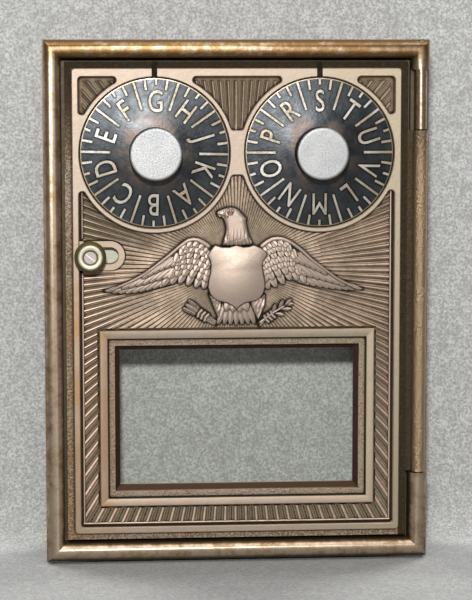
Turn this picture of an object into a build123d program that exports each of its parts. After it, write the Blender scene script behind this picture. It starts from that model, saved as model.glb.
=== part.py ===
"""Post office box door: a cast brass frame and hinged door with two letter dials and a sliding latch.

X runs to the right, Y into the cabinet and Z up, in millimetres. The origin is the middle of the
frame's seat, the flat back of its border, which lies against the front of the cabinet.
Sketches lie on planes parallel to the seat, and a face is named by its height in front of it.
"""
import os
from math import cos, radians, sin, sqrt

from build123d import *

os.makedirs("parts", exist_ok=True)

# Frame casting
frame_width = 88.9
frame_height = 120.65
border_width = 4.2
border_height = 4.2
flange_thickness = 0.6
sleeve_wall = 1.6
sleeve_depth = 19.0
ledge_width = 2.0
ledge_thickness = 1.6
ledge_gap = 0.3
keeper_reach = 3.05
keeper_height = 12.0
side_hole_radius = 2.1
side_hole_spacing = 76.0
side_hole_depth = 14.0

# Hinge, on the right-hand edge
hinge_inset = 2.05
hinge_height = 2.7
hinge_end_inset = 6.6
hinge_middle_z = -0.3
pin_radius = 0.8
pin_fit = 0.02
pin_socket_depth = 1.0
barrel_bore_fit = 0.05
barrel_radius = 1.6
knuckle_radius = 1.35
knuckle_gap = 0.3
knuckle_length = 13.6

# Door casting
door_gap = 0.8
plate_thickness = 2.8
flange_face = 1.9
panel_face = 1.6
land_face = 3.0
rim_side_inset = 1.6
rim_end_inset = 1.5
rim_width = 1.5
top_rim_width = 1.9
edge_break = 0.2
tip_radius = 0.8
web_face = 1.9
web_thickness = 1.0

# Dials
dial_drop = 25.8
dial_side_space = 8.21
dial_edge_thickness = 1.7
dial_crown = 0.8
dial_hub_margin = 1.0
dial_well_gap = 0.16
dial_floor_gap = 0.3
dial_ring_width = 1.05
dial_bridge = 3.28
well_floor_face = 0.6
bridge_height = 10.2
notch_width = 1.3
knob_radius = 5.95
knob_neck_radius = 4.6
knob_neck_height = 0.9
knob_height = 6.2
knob_edge = 0.4
spindle_radius = 2.4
spindle_fit = 0.05
seat_fit = 0.02
boss_radius = 4.6
boss_height = 2.5
axial_play = 0.1
washer_thickness = 0.6
washer_radius = 4.2
washer_land = 0.6
tumbler_inset = 8.64
tumbler_thickness = 3.0
tumbler_shank_radius = 1.9
shank_flat = 1.45
gate_width = 2.8
gate_depth = 3.2
letter_step = 36.0
left_gate_letters = 4
right_gate_letters = 7
nut_flats = 5.5
nut_height = 2.0
thread_radius = 1.5
spindle_end_inset = 0.2

# Window
window_width = 56.8
window_sill_rise = 16.35
window_head_drop = 44.4
inner_band_width = 1.5
inner_band_face = 2.2
outer_band_width = 2.0
outer_band_face = 2.8
tunnel_depth = 6.0
collar_wall = 3.6
collar_margin = 0.1
glass_lap = 2.1
glass_thickness = 2.0
glass_gap = 0.2
retainer_gap = 0.1
retainer_thickness = 0.8
ear_radius = 2.4
ear_offset = 0.6
ear_spacing = 24.0

# Latch
latch_drop = 49.3
latch_inset = 6.37
latch_travel = 4.6
stem_radius = 1.7
stem_end_radius = 1.4
slot_clearance = 0.3
slot_rim = 1.35
slot_rim_face = 2.7
slide_gap = 0.3
slide_thickness = 1.2
slide_height = 6.6
arm_width = 2.4
fence_drop = 5.0
fence_clearance = 0.4
fence_height = 2.4
rivet_radius = 0.5
rivet_inset = 0.7
bolt_thickness = 3.2
bolt_end_gap = 0.55
latch_knob_radius = 3.65
latch_knob_height = 4.6
latch_knob_gap = 0.4
latch_face_radius = 2.45
dish_depth = 0.3
guide_screw_offsets = (13.9, 31.9)
guide_shoulder_radius = 1.5
guide_fit = 0.1
guide_thread_radius = 1.2
guide_thread_length = 1.8
guide_head_radius = 2.6
guide_head_height = 1.4
tab_offset = 10.5
tab_width = 1.2
spring_drop = 5.6
spring_height = -3.2
spring_length = 12.8
spring_radius = 1.3
spring_wire_radius = 0.22
wire_facets = 4
spring_turns = 7
spring_end_gap = 0.3
lug_thickness = 2.0
lug_height = 4.0
guide_pin_radius = 0.7

# Lock case and screws
case_inset = 4.95
case_rise = 18.5
case_fall = 33.5
case_depth = 10.5
case_wall = 1.0
case_corner = 3.0
case_edge = 1.2
case_boss_radius = 5.0
case_boss_height = 0.8
post_radius = 2.2
post_inset = 3.5
post_drop = 3.5
post_rise = 4.0
small_screw_radius = 1.1
small_screw_length = 3.6
small_head_radius = 2.1
small_head_height = 1.3
driver_slot_width = 0.6
driver_slot_angle = 30

# Eagle in low relief, with its points taken from the middle of the sunburst
eagle_drop = 26.6
shield_face = 2.7
bird_face = 2.5
wing_face = 2.3
wing_shoulder = (5.6, 5.3)
wing_crest = (9.4, 7.5)
wing_bend = (12.6, 6.3)
wing_middle = (20.4, 0.0)
wing_tip = (30.2, -4.7)
wing_tip_low = (29.6, -5.3)
wing_sag = (22.5, -5.3)
wing_hem = (15.8, -3.9)
wing_pit = (11.6, -3.6)
wing_root = (6.4, -5.4)
neck_front = ((-3.8, 4.1), (-2.8, 9.3), (-3.3, 11.8))
beak_tip = (-4.9, 12.4)
crown = ((-1.2, 14.2), (2.0, 11.6))
nape = ((2.7, 7.5), (4.0, 4.1))
tail_outline = ((-5.6, -5.9), (-5.0, -13.6), (5.0, -13.6), (5.6, -5.9))
arrow_outline = ((-4.6, -13.7), (-11.0, -7.9), (-12.4, -9.3), (-7.0, -13.7))
branch_top = ((4.6, -13.5), (8.6, -10.1), (12.9, -8.8))
branch_bottom = ((10.6, -11.1), (6.6, -13.5))
shield_top = 5.5
shield_dip = 0.6
shield_horn_x = 4.4
shield_corner = (7.0, 3.3)
shield_corner_dip = (5.4, 4.0)
shield_waist = (5.9, -0.3)
shield_hip = (6.5, -4.0)
shield_heel = (4.9, -7.2)
shield_toe = (1.9, -7.9)
shield_tip = -9.5

# Places worked out from the sizes above
opening_width = frame_width - 2 * border_width
opening_height = frame_height - 2 * border_width
hinge_x = frame_width / 2 - hinge_inset
knuckle_end = frame_height / 2 - hinge_end_inset
barrel_length = 2 * (knuckle_end - knuckle_length - knuckle_gap)
door_width = opening_width - 2 * door_gap
door_height = opening_height - 2 * door_gap
rim_outer_width = door_width - 2 * rim_side_inset
rim_outer_height = door_height - 2 * rim_end_inset
door_back = flange_face - plate_thickness
ledge_face = door_back - ledge_gap
ledge_back = ledge_face - ledge_thickness
dial_z = frame_height / 2 - dial_drop
dial_radius = (frame_width / 2 - dial_side_space - dial_bridge / 2) / 2 - dial_well_gap
dial_spacing = 2 * (dial_radius + dial_well_gap) + dial_bridge
tumbler_radius = dial_radius - tumbler_inset
dial_places = ((-dial_spacing / 2, dial_z), (dial_spacing / 2, dial_z))
dial_back = well_floor_face + dial_floor_gap
dial_edge_face = dial_back + dial_edge_thickness
dial_hub_face = dial_edge_face + dial_crown
knob_back = dial_hub_face
eagle_z = dial_z - eagle_drop
boss_back = door_back - boss_height
washer_face = boss_back - axial_play
tumbler_face = washer_face - washer_thickness
tumbler_back = tumbler_face - tumbler_thickness
nut_back = tumbler_back - nut_height
window_height = frame_height - dial_drop - window_head_drop - window_sill_rise
window_z = dial_z - window_head_drop - window_height / 2
collar_width = window_width + 2 * collar_wall
collar_height = window_height + 2 * collar_wall
case_width = opening_width - 2 * case_inset
case_top = dial_z + case_rise
case_bottom = dial_z - case_fall
latch_x = latch_inset - opening_width / 2
latch_z = frame_height / 2 - latch_drop
case_back = door_back - case_depth
case_inner = case_back + case_wall
spindle_end = case_back - case_boss_height + spindle_end_inset
slide_face = door_back - slide_gap
slide_back = slide_face - slide_thickness
slot_left = latch_x - stem_radius - slot_clearance
slot_right = latch_x + latch_travel + stem_radius + slot_clearance
slot_half_height = stem_radius + slot_clearance
keeper_edge = -opening_width / 2 + keeper_reach
bolt_left = -opening_width / 2 + bolt_end_gap
bolt_face = ledge_back - slide_gap
bolt_back = bolt_face - bolt_thickness
bolt_right = slot_right - latch_travel + slot_rim
rivet_x = bolt_right - rivet_inset - slot_rim
rivet_places = [(rivet_x, latch_z + side * (slide_height / 2 - rivet_inset)) for side in (-1, 1)]
guide_places = [(latch_x + offset, latch_z) for offset in guide_screw_offsets]
tab_x = latch_x + tab_offset
spring_z = latch_z - spring_drop
glass_width = window_width + 2 * glass_lap
glass_height = window_height + 2 * glass_lap
glass_face = inner_band_face - tunnel_depth - glass_gap
glass_back = glass_face - glass_thickness
collar_back = glass_back - collar_margin
retainer_face = collar_back - retainer_gap
fence_z = dial_z - fence_drop
tumbler_half_chord = sqrt(tumbler_radius**2 - fence_drop**2)
fence_corner_drop = fence_drop - fence_height / 2
fence_reach = sqrt(tumbler_radius**2 - fence_corner_drop**2) + fence_clearance + latch_travel
fence_ends = [x - fence_reach for x, z in dial_places]
post_places = [
    (side * (case_width / 2 - post_inset), z)
    for side in (-1, 1)
    for z in (case_bottom + post_rise, case_top - post_drop)
]
ear_places = [
    (side * (collar_width / 2 + ear_offset), window_z + end * ear_spacing / 2)
    for side in (-1, 1)
    for end in (-1, 1)
]


# Frame casting: sleeve, stop ledge with the latch keeper, half-round border and two hinge knuckles.
with BuildPart() as frame_casting:
    with BuildSketch(Plane.XZ):
        Rectangle(opening_width + 2 * sleeve_wall, opening_height + 2 * sleeve_wall)
        Rectangle(opening_width, opening_height, mode=Mode.SUBTRACT)
    extrude(amount=-sleeve_depth)
    with BuildSketch(Plane.XZ):
        Rectangle(frame_width, frame_height)
        Rectangle(opening_width, opening_height, mode=Mode.SUBTRACT)
    extrude(amount=flange_thickness)
    with BuildSketch(Plane.XZ.offset(ledge_back)):
        Rectangle(opening_width, opening_height)
        Rectangle(opening_width - 2 * ledge_width, opening_height - 2 * ledge_width, mode=Mode.SUBTRACT)
        with Locations((keeper_edge, latch_z)):
            Rectangle(keeper_reach, keeper_height, align=(Align.MAX, Align.CENTER))
    extrude(amount=ledge_thickness)

    # The border is a half-round bar, mitred at the corners and open along the hinge.
    bar_x = (frame_width - border_width) / 2
    bar_z = (frame_height - border_width) / 2
    with BuildLine() as border_path:
        Polyline(
            (bar_x, 0, hinge_middle_z - knuckle_end),
            (bar_x, 0, -bar_z),
            (-bar_x, 0, -bar_z),
            (-bar_x, 0, bar_z),
            (bar_x, 0, bar_z),
            (bar_x, 0, hinge_middle_z + knuckle_end),
        )
    section_plane = Plane(
        origin=(bar_x, 0, hinge_middle_z - knuckle_end), x_dir=(1, 0, 0), z_dir=(0, 0, -1)
    )
    with BuildSketch(section_plane) as border_section:
        with BuildLine():
            side_height = border_height - border_width / 2
            Polyline(
                (-border_width / 2, side_height),
                (-border_width / 2, 0),
                (border_width / 2, 0),
                (border_width / 2, side_height),
            )
            ThreePointArc(
                (border_width / 2, side_height),
                (0, border_height),
                (-border_width / 2, side_height),
            )
        make_face()
    sweep(sections=border_section.sketch, path=border_path.line, transition=Transition.RIGHT)

    # Each knuckle stands on a short web between the barrel and a corner.
    for end in (-1, 1):
        knuckle_start = hinge_middle_z + end * (barrel_length / 2 + knuckle_gap)
        with BuildSketch(Plane.XY.offset(knuckle_start)):
            with Locations((hinge_x, -hinge_height)):
                Circle(knuckle_radius)
            with Locations((hinge_x, 0)):
                Rectangle(2 * knuckle_radius, hinge_height, align=(Align.CENTER, Align.MAX))
        extrude(amount=end * knuckle_length)
    pin_top = frame_height / 2 - knuckle_gap
    pin_bottom = hinge_middle_z - knuckle_end - pin_socket_depth
    with BuildSketch(Plane.XY.offset(pin_bottom)):
        with Locations((hinge_x, -hinge_height)):
            Circle(pin_radius + pin_fit)
    extrude(amount=frame_height / 2 - pin_bottom, mode=Mode.SUBTRACT)

    # Holes through both side walls, for the screws into the cabinet.
    with BuildSketch(Plane.YZ.offset(-frame_width / 2)):
        with GridLocations(0, side_hole_spacing, 1, 2):
            with Locations((side_hole_depth, 0)):
                Circle(side_hole_radius)
    extrude(amount=frame_width, mode=Mode.SUBTRACT)
frame_casting.part.label = "frame_casting"
export_step(frame_casting.part, "parts/frame_casting.step")


# Hinge pin: a plain rod pressed down through both knuckles and the barrel.
with BuildPart() as hinge_pin:
    with BuildSketch(Plane.XY.offset(pin_bottom + knuckle_gap)):
        with Locations((hinge_x, -hinge_height)):
            Circle(pin_radius)
    extrude(amount=pin_top - pin_bottom - knuckle_gap)
    chamfer(hinge_pin.edges().filter_by(GeomType.CIRCLE), edge_break)
hinge_pin.part.label = "hinge_pin"
export_step(hinge_pin.part, "parts/hinge_pin.step")


# Door casting: plate, lands round the dials, window moulding and collar, bosses, and hinge barrel.
with BuildPart() as door_casting:
    with BuildSketch(Plane.XZ.offset(door_back)):
        Rectangle(door_width, door_height)
    extrude(amount=plate_thickness)
    rim_inner_width = rim_outer_width - 2 * rim_width
    rim_inner_height = rim_outer_height - rim_width - top_rim_width
    rim_inner_z = (rim_width - top_rim_width) / 2
    with BuildSketch(Plane.XZ.offset(panel_face)):
        with Locations((0, rim_inner_z)):
            Rectangle(rim_inner_width, rim_inner_height)
    extrude(amount=flange_face - panel_face, mode=Mode.SUBTRACT)

    # Lands: the rim, a ring round each dial and the bridge between them, with rounded tips.
    ring_radius = dial_radius + dial_well_gap + dial_ring_width
    with BuildSketch(Plane.XZ.offset(panel_face)) as lands:
        Rectangle(rim_outer_width, rim_outer_height)
        with Locations((0, rim_inner_z)):
            Rectangle(rim_inner_width, rim_inner_height, mode=Mode.SUBTRACT)
        with Locations(*dial_places):
            Circle(ring_radius)
        with Locations((0, dial_z)):
            Rectangle(4 * dial_bridge, bridge_height)
        fillet(lands.vertices(), tip_radius)
        with Locations(*dial_places):
            Circle(dial_radius + dial_well_gap, mode=Mode.SUBTRACT)
    extrude(amount=land_face - panel_face)
    top_faces = door_casting.faces().filter_by(Axis.Y).group_by(Axis.Y)[0]
    chamfer(top_faces.edges(), edge_break)

    # A notch over each dial marks the letter that is set.
    with BuildSketch(Plane.XZ.offset(flange_face)):
        for x, z in dial_places:
            with Locations((x, z + dial_radius)):
                Rectangle(notch_width, frame_height / 2, align=(Align.CENTER, Align.MIN))
    extrude(amount=land_face, mode=Mode.SUBTRACT)

    # Window moulding: a flat outer band, then a lower inner band round the opening.
    with BuildSketch(Plane.XZ.offset(panel_face)):
        with Locations((0, window_z)):
            Rectangle(
                window_width + 2 * (inner_band_width + outer_band_width),
                window_height + 2 * (inner_band_width + outer_band_width),
            )
    moulding = extrude(amount=outer_band_face - panel_face)
    chamfer(moulding.edges().group_by(Axis.Y)[0], edge_break)
    with BuildSketch(Plane.XZ.offset(inner_band_face)):
        with Locations((0, window_z)):
            Rectangle(window_width + 2 * inner_band_width, window_height + 2 * inner_band_width)
    extrude(amount=outer_band_face, mode=Mode.SUBTRACT)

    # Latch boss round the slot, joined to the rim.
    with BuildSketch(Plane.XZ.offset(panel_face)):
        with Locations(((slot_left + slot_right) / 2, latch_z)):
            SlotOverall(slot_right - slot_left + 2 * slot_rim, 2 * (slot_half_height + slot_rim))
        with Locations((-rim_inner_width / 2, latch_z)):
            Rectangle(slot_half_height, 2 * (slot_half_height + slot_rim))
    extrude(amount=slot_rim_face - panel_face)

    # Back of the casting: window collar and ears, spindle bosses, case posts and the spring lug.
    with BuildSketch(Plane.XZ.offset(door_back)):
        with Locations((0, window_z)):
            Rectangle(collar_width, collar_height)
        with Locations(*ear_places):
            Circle(ear_radius)
    extrude(amount=collar_back - door_back)
    with BuildSketch(Plane.XZ.offset(door_back)):
        with Locations(*dial_places):
            Circle(boss_radius)
    extrude(amount=-boss_height)
    with BuildSketch(Plane.XZ.offset(door_back)):
        with Locations(*post_places):
            Circle(post_radius)
    extrude(amount=case_inner - door_back)
    spring_left = tab_x + tab_width / 2
    lug_face = spring_left + spring_length
    with BuildSketch(Plane.XZ.offset(door_back)):
        with Locations((lug_face, spring_z)):
            Rectangle(lug_thickness, lug_height, align=(Align.MIN, Align.CENTER))
    extrude(amount=spring_height - lug_height / 2 - door_back)

    # Hinge barrel and the thin web that joins it to the plate.
    barrel_bottom = hinge_middle_z - barrel_length / 2
    with BuildSketch(Plane.XY.offset(barrel_bottom)):
        with Locations((hinge_x, -hinge_height)):
            Circle(barrel_radius)
        with Locations((hinge_x, -web_face)):
            web_length = hinge_x - door_width / 2 + rim_side_inset / 2
            Rectangle(web_length, web_thickness, align=(Align.MAX, Align.MIN))
    extrude(amount=barrel_length)
    with BuildSketch(Plane.XY.offset(barrel_bottom)):
        with Locations((hinge_x, -hinge_height)):
            Circle(pin_radius + barrel_bore_fit)
    extrude(amount=barrel_length, mode=Mode.SUBTRACT)

    # Eagle: shield, wings, head and tail as plain raised forms, ready for chasing.
    eagle_plane = Plane(origin=(0, -panel_face, eagle_z), x_dir=(1, 0, 0), z_dir=(0, -1, 0))
    with BuildSketch(eagle_plane):
        with BuildLine():
            Line(wing_root, wing_shoulder)
            ThreePointArc(wing_shoulder, wing_crest, wing_bend)
            ThreePointArc(wing_bend, wing_middle, wing_tip)
            Line(wing_tip, wing_tip_low)
            ThreePointArc(wing_tip_low, wing_sag, wing_hem)
            ThreePointArc(wing_hem, wing_pit, wing_root)
        make_face()
        mirror(about=Plane.YZ)
    extrude(amount=wing_face - panel_face)
    with BuildSketch(eagle_plane):
        with BuildLine():
            ThreePointArc(*neck_front)
            Line(neck_front[-1], beak_tip)
            ThreePointArc(beak_tip, *crown)
            ThreePointArc(crown[-1], *nape)
            Line(nape[-1], neck_front[0])
        make_face()
        with BuildLine():
            Polyline(*tail_outline, close=True)
        make_face()
        with BuildLine():
            Polyline(*arrow_outline, close=True)
        make_face()
        with BuildLine():
            ThreePointArc(*branch_top)
            ThreePointArc(branch_top[-1], *branch_bottom)
            Line(branch_bottom[-1], branch_top[0])
        make_face()
    extrude(amount=bird_face - panel_face)
    with BuildSketch(eagle_plane):
        with BuildLine():
            horn = (shield_horn_x, shield_top)
            ThreePointArc((0, shield_top), (shield_horn_x / 2, shield_top - shield_dip), horn)
            ThreePointArc(horn, shield_corner_dip, shield_corner)
            ThreePointArc(shield_corner, shield_waist, shield_hip)
            ThreePointArc(shield_hip, shield_heel, shield_toe)
            Line(shield_toe, (0, shield_tip))
            mirror(about=Plane.YZ)
        make_face()
    extrude(amount=shield_face - panel_face)

    # Everything that is cut through or into the casting.
    with BuildSketch(Plane.XZ.offset(well_floor_face)):
        with Locations(*dial_places):
            Circle(dial_radius + dial_well_gap)
    extrude(amount=land_face, mode=Mode.SUBTRACT)
    with BuildSketch(Plane.XZ.offset(boss_back)):
        with Locations(*dial_places):
            Circle(spindle_radius + spindle_fit)
    extrude(amount=land_face - boss_back, mode=Mode.SUBTRACT)
    with BuildSketch(Plane.XZ.offset(door_back)):
        with Locations(((slot_left + slot_right) / 2, latch_z)):
            SlotOverall(slot_right - slot_left, 2 * slot_half_height)
    extrude(amount=land_face - door_back, mode=Mode.SUBTRACT)
    with BuildSketch(Plane.XZ.offset(collar_back)):
        with Locations((0, window_z)):
            Rectangle(window_width, window_height)
    extrude(amount=land_face - collar_back, mode=Mode.SUBTRACT)
    with BuildSketch(Plane.XZ.offset(collar_back)):
        with Locations((0, window_z)):
            Rectangle(glass_width + 2 * glass_gap, glass_height + 2 * glass_gap)
    extrude(amount=glass_face + glass_gap - collar_back, mode=Mode.SUBTRACT)
    with Locations(Plane.XZ.offset(collar_back)):
        with Locations(*[(x, z, 0) for x, z in ear_places]):
            Cylinder(small_screw_radius + seat_fit, 2 * small_screw_length, mode=Mode.SUBTRACT)
    with Locations(Plane.XZ.offset(case_inner)):
        with Locations(*[(x, z, 0) for x, z in post_places]):
            Cylinder(small_screw_radius + seat_fit, 2 * small_screw_length, mode=Mode.SUBTRACT)
    with Locations(Plane.XZ.offset(door_back)):
        with Locations(*[(x, z, 0) for x, z in guide_places]):
            Cylinder(guide_thread_radius + seat_fit, 2 * guide_thread_length, mode=Mode.SUBTRACT)
    with Locations(Plane.YZ.offset(lug_face)):
        with Locations((-spring_height, spring_z, 0)):
            Cylinder(guide_pin_radius + seat_fit, 2 * lug_thickness, mode=Mode.SUBTRACT)
door_casting.part.label = "door_casting"
export_step(door_casting.part, "parts/door_casting.step")


# Window glass: a flat pane in the rebate behind the opening, its edges ground off.
with BuildPart() as window_glass:
    with BuildSketch(Plane.XZ.offset(glass_back)):
        with Locations((0, window_z)):
            Rectangle(glass_width, glass_height)
    extrude(amount=glass_thickness)
    chamfer(window_glass.edges().filter_by(Axis.Y), edge_break)
window_glass.part.label = "window_glass"
export_step(window_glass.part, "parts/window_glass.step")


# Glass retainer: a sheet brass frame with four ears, screwed down over the edge of the glass.
with BuildPart() as glass_retainer:
    with BuildSketch(Plane.XZ.offset(retainer_face)):
        with Locations((0, window_z)):
            Rectangle(collar_width, collar_height)
        with Locations(*ear_places):
            Circle(ear_radius)
        with Locations((0, window_z)):
            Rectangle(window_width, window_height, mode=Mode.SUBTRACT)
        with Locations(*ear_places):
            Circle(small_screw_radius + seat_fit, mode=Mode.SUBTRACT)
    extrude(amount=-retainer_thickness)
glass_retainer.part.label = "glass_retainer"
export_step(glass_retainer.part, "parts/glass_retainer.step")


# Lock case: a drawn brass pan over the works, with a bearing boss behind each spindle.
with BuildPart() as lock_case:
    case_middle = (case_top + case_bottom) / 2
    case_height = case_top - case_bottom
    with BuildSketch(Plane.XZ.offset(case_back)):
        with Locations((0, case_middle)):
            RectangleRounded(case_width, case_height, case_corner)
    extrude(amount=case_depth)
    chamfer(lock_case.faces().sort_by(Axis.Y)[-1].edges(), case_edge)
    with BuildSketch(Plane.XZ.offset(case_inner)):
        with Locations((0, case_middle)):
            RectangleRounded(
                case_width - 2 * case_wall, case_height - 2 * case_wall, case_corner - case_wall
            )
    extrude(amount=case_depth, mode=Mode.SUBTRACT)
    with BuildSketch(Plane.XZ.offset(case_back)):
        with Locations(*dial_places):
            Circle(case_boss_radius)
    extrude(amount=-case_boss_height)
    with BuildSketch(Plane.XZ.offset(case_back - case_boss_height)):
        with Locations(*dial_places):
            Circle(thread_radius + spindle_fit)
    extrude(amount=case_depth, mode=Mode.SUBTRACT)
    with BuildSketch(Plane.XZ.offset(case_back)):
        with Locations(*post_places):
            Circle(small_screw_radius + seat_fit)
    extrude(amount=case_wall, mode=Mode.SUBTRACT)
    with BuildSketch(Plane.XZ.offset(bolt_back - slide_gap)):
        with Locations((-case_width / 2, latch_z)):
            Rectangle(4 * case_wall, slide_height + 2 * slide_gap)
    extrude(amount=case_depth, mode=Mode.SUBTRACT)
lock_case.part.label = "lock_case"
export_step(lock_case.part, "parts/lock_case.step")


# Screws: cheese heads with a driver slot; one group holds the case and one the glass retainer.
screw_groups = {
    "lock_case_screws": (post_places, case_back),
    "glass_retainer_screws": (ear_places, retainer_face - retainer_thickness),
}
for group_name, (places, seat_face) in screw_groups.items():
    with BuildPart() as screws:
        with BuildSketch(Plane.XZ.offset(seat_face)):
            with Locations(*places):
                Circle(small_head_radius)
        extrude(amount=-small_head_height)
        with BuildSketch(Plane.XZ.offset(seat_face)):
            with Locations(*places):
                Circle(small_screw_radius)
        extrude(amount=small_screw_length)
        with BuildSketch(Plane.XZ.offset(seat_face - small_head_height)):
            with Locations(*places):
                Rectangle(3 * small_head_radius, driver_slot_width, rotation=driver_slot_angle)
        extrude(amount=small_head_height / 2, mode=Mode.SUBTRACT)
    screws.part.label = group_name
    export_step(screws.part, f"parts/{group_name}.step")


# Dial sets: on each spindle a dial and its knob in front, washer, tumbler wheel and nut behind.
dial_sets = (
    ("left", dial_places[0], left_gate_letters),
    ("right", dial_places[1], right_gate_letters),
)
for side_name, (dial_x, z), gate_letters in dial_sets:
    axis_plane = Plane(origin=(dial_x, 0, z), x_dir=(1, 0, 0), z_dir=(0, 0, 1))
    axis_line = Axis((dial_x, 0, z), (0, 1, 0))
    front_plane = Plane(origin=(dial_x, 0, z), x_dir=(1, 0, 0), z_dir=(0, -1, 0))

    # The dial is a blackened disc that rises in a flat cone from its rim to the knob.
    with BuildPart() as dial:
        with BuildSketch(axis_plane):
            with BuildLine():
                Polyline(
                    (spindle_radius + seat_fit, -dial_back),
                    (dial_radius, -dial_back),
                    (dial_radius, edge_break - dial_edge_face),
                    (dial_radius - edge_break, -dial_edge_face),
                )
                RadiusArc(
                    (dial_radius - edge_break, -dial_edge_face),
                    (knob_neck_radius + dial_hub_margin, -dial_hub_face),
                    6 * dial_radius,
                )
                Polyline(
                    (knob_neck_radius + dial_hub_margin, -dial_hub_face),
                    (spindle_radius + seat_fit, -dial_hub_face),
                    (spindle_radius + seat_fit, -dial_back),
                )
            make_face()
        revolve(axis=axis_line)
    dial.part.label = side_name + "_dial"
    export_step(dial.part, f"parts/{side_name}_dial.step")

    # The knob is a turned steel button, flat in front, with a narrower neck against the dial.
    with BuildPart() as knob:
        with BuildSketch(front_plane.offset(knob_back)):
            Circle(knob_neck_radius)
        extrude(amount=knob_neck_height)
        with BuildSketch(front_plane.offset(knob_back + knob_neck_height)):
            Circle(knob_radius)
        extrude(amount=knob_height)
        chamfer(knob.edges().group_by(Axis.Y)[0], knob_edge)
        with BuildSketch(front_plane.offset(knob_back)):
            Circle(spindle_radius + seat_fit)
        extrude(amount=knob_neck_height + knob_height / 2, mode=Mode.SUBTRACT)
    knob.part.label = side_name + "_dial_knob"
    export_step(knob.part, f"parts/{side_name}_dial_knob.step")

    # The spindle is stepped: full size in the boss, a flatted shank for the wheel, then the thread.
    with BuildPart() as spindle:
        with BuildSketch(front_plane.offset(washer_face)):
            Circle(spindle_radius)
        spindle_front = knob_back + knob_neck_height + knob_height / 2 - seat_fit
        extrude(amount=spindle_front - washer_face)
        with BuildSketch(front_plane.offset(tumbler_back)) as shank_section:
            Circle(tumbler_shank_radius)
            with Locations((shank_flat, 0)):
                Rectangle(
                    tumbler_shank_radius,
                    2 * tumbler_shank_radius,
                    align=(Align.MIN, Align.CENTER),
                    mode=Mode.SUBTRACT,
                )
        extrude(amount=washer_face - tumbler_back)
        with BuildSketch(front_plane.offset(spindle_end)):
            Circle(thread_radius)
        extrude(amount=tumbler_back - spindle_end)
        chamfer(spindle.edges().group_by(Axis.Y)[-1], edge_break)
    spindle.part.label = side_name + "_spindle"
    export_step(spindle.part, f"parts/{side_name}_spindle.step")

    # The spring washer is a thin dished disc that gives the dial its drag.
    with BuildPart() as washer:
        with BuildSketch(axis_plane):
            with BuildLine():
                inner = tumbler_shank_radius + seat_fit
                Polyline(
                    (inner, -washer_face),
                    (inner + washer_land, -washer_face),
                    (washer_radius, -tumbler_face - washer_thickness / 3),
                    (washer_radius, -tumbler_face),
                    (washer_radius - washer_land, -tumbler_face),
                    (inner, -washer_face + washer_thickness / 3),
                    (inner, -washer_face),
                )
            make_face()
        revolve(axis=axis_line)
    washer.part.label = side_name + "_spring_washer"
    export_step(washer.part, f"parts/{side_name}_spring_washer.step")

    # The tumbler wheel has one gate, turned away from the fence by its own letter of the combination.
    with BuildPart() as tumbler:
        with BuildSketch(front_plane.offset(tumbler_back)):
            Circle(tumbler_radius)
            Circle(tumbler_shank_radius + seat_fit, mode=Mode.SUBTRACT)
            with Locations((shank_flat + seat_fit, 0)):
                Rectangle(
                    tumbler_shank_radius / 2,
                    2 * tumbler_shank_radius,
                    align=(Align.MIN, Align.CENTER),
                )
            turn = radians(gate_letters * letter_step)
            gate_length = 2 * gate_depth
            gate_x = gate_depth - gate_length / 2 - tumbler_half_chord
            gate_z = -fence_drop
            place = (
                gate_x * cos(turn) - gate_z * sin(turn),
                gate_x * sin(turn) + gate_z * cos(turn),
            )
            with Locations(place):
                Rectangle(
                    gate_length,
                    gate_width,
                    rotation=gate_letters * letter_step,
                    mode=Mode.SUBTRACT,
                )
        extrude(amount=tumbler_thickness)
    tumbler.part.label = side_name + "_tumbler"
    export_step(tumbler.part, f"parts/{side_name}_tumbler.step")

    # A hexagon nut draws the wheel against the washer.
    with BuildPart() as nut:
        with BuildSketch(front_plane.offset(nut_back)):
            RegularPolygon(nut_flats / 2, 6, major_radius=False)
            Circle(thread_radius + seat_fit, mode=Mode.SUBTRACT)
        extrude(amount=nut_height)
    nut.part.label = side_name + "_spindle_nut"
    export_step(nut.part, f"parts/{side_name}_spindle_nut.step")


# Latch slide: a stamped plate behind the door, with two arms and a bent tab for the spring.
with BuildPart() as latch_slide:
    slide_left = keeper_edge + slide_gap
    slide_right = fence_ends[1]
    tab_bottom = spring_z - spring_radius - spring_wire_radius
    tab_back = spring_height - spring_radius - spring_wire_radius
    with BuildSketch(Plane.XZ.offset(slide_back)):
        with Locations((slide_left, latch_z)):
            Rectangle(slide_right - slide_left, slide_height, align=(Align.MIN, Align.CENTER))
        for end_x in fence_ends:
            with Locations((end_x, latch_z)):
                Rectangle(arm_width, fence_z - latch_z + fence_height / 2, align=(Align.MAX, Align.MIN))
        with Locations((tab_x, latch_z)):
            Rectangle(tab_width, latch_z - tab_bottom, align=(Align.CENTER, Align.MAX))
        for screw_x, z in guide_places:
            slot_width = 2 * (guide_shoulder_radius + guide_fit)
            with Locations((screw_x - latch_travel / 2, z)):
                SlotOverall(latch_travel + slot_width, slot_width, mode=Mode.SUBTRACT)
        with Locations((latch_x, latch_z)):
            Circle(stem_radius + seat_fit, mode=Mode.SUBTRACT)
    extrude(amount=slide_thickness)
    with BuildSketch(Plane.XZ.offset(slide_back)):
        with Locations((tab_x, tab_bottom)):
            tab_height = latch_z - slide_height / 2 - tab_bottom
            Rectangle(tab_width, tab_height, align=(Align.CENTER, Align.MIN))
    extrude(amount=tab_back - slide_back)
    with BuildSketch(Plane.XZ.offset(slide_back)):
        with Locations(*rivet_places):
            Circle(rivet_radius + seat_fit)
    extrude(amount=slide_thickness, mode=Mode.SUBTRACT)
latch_slide.part.label = "latch_slide"
export_step(latch_slide.part, "parts/latch_slide.step")


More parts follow.
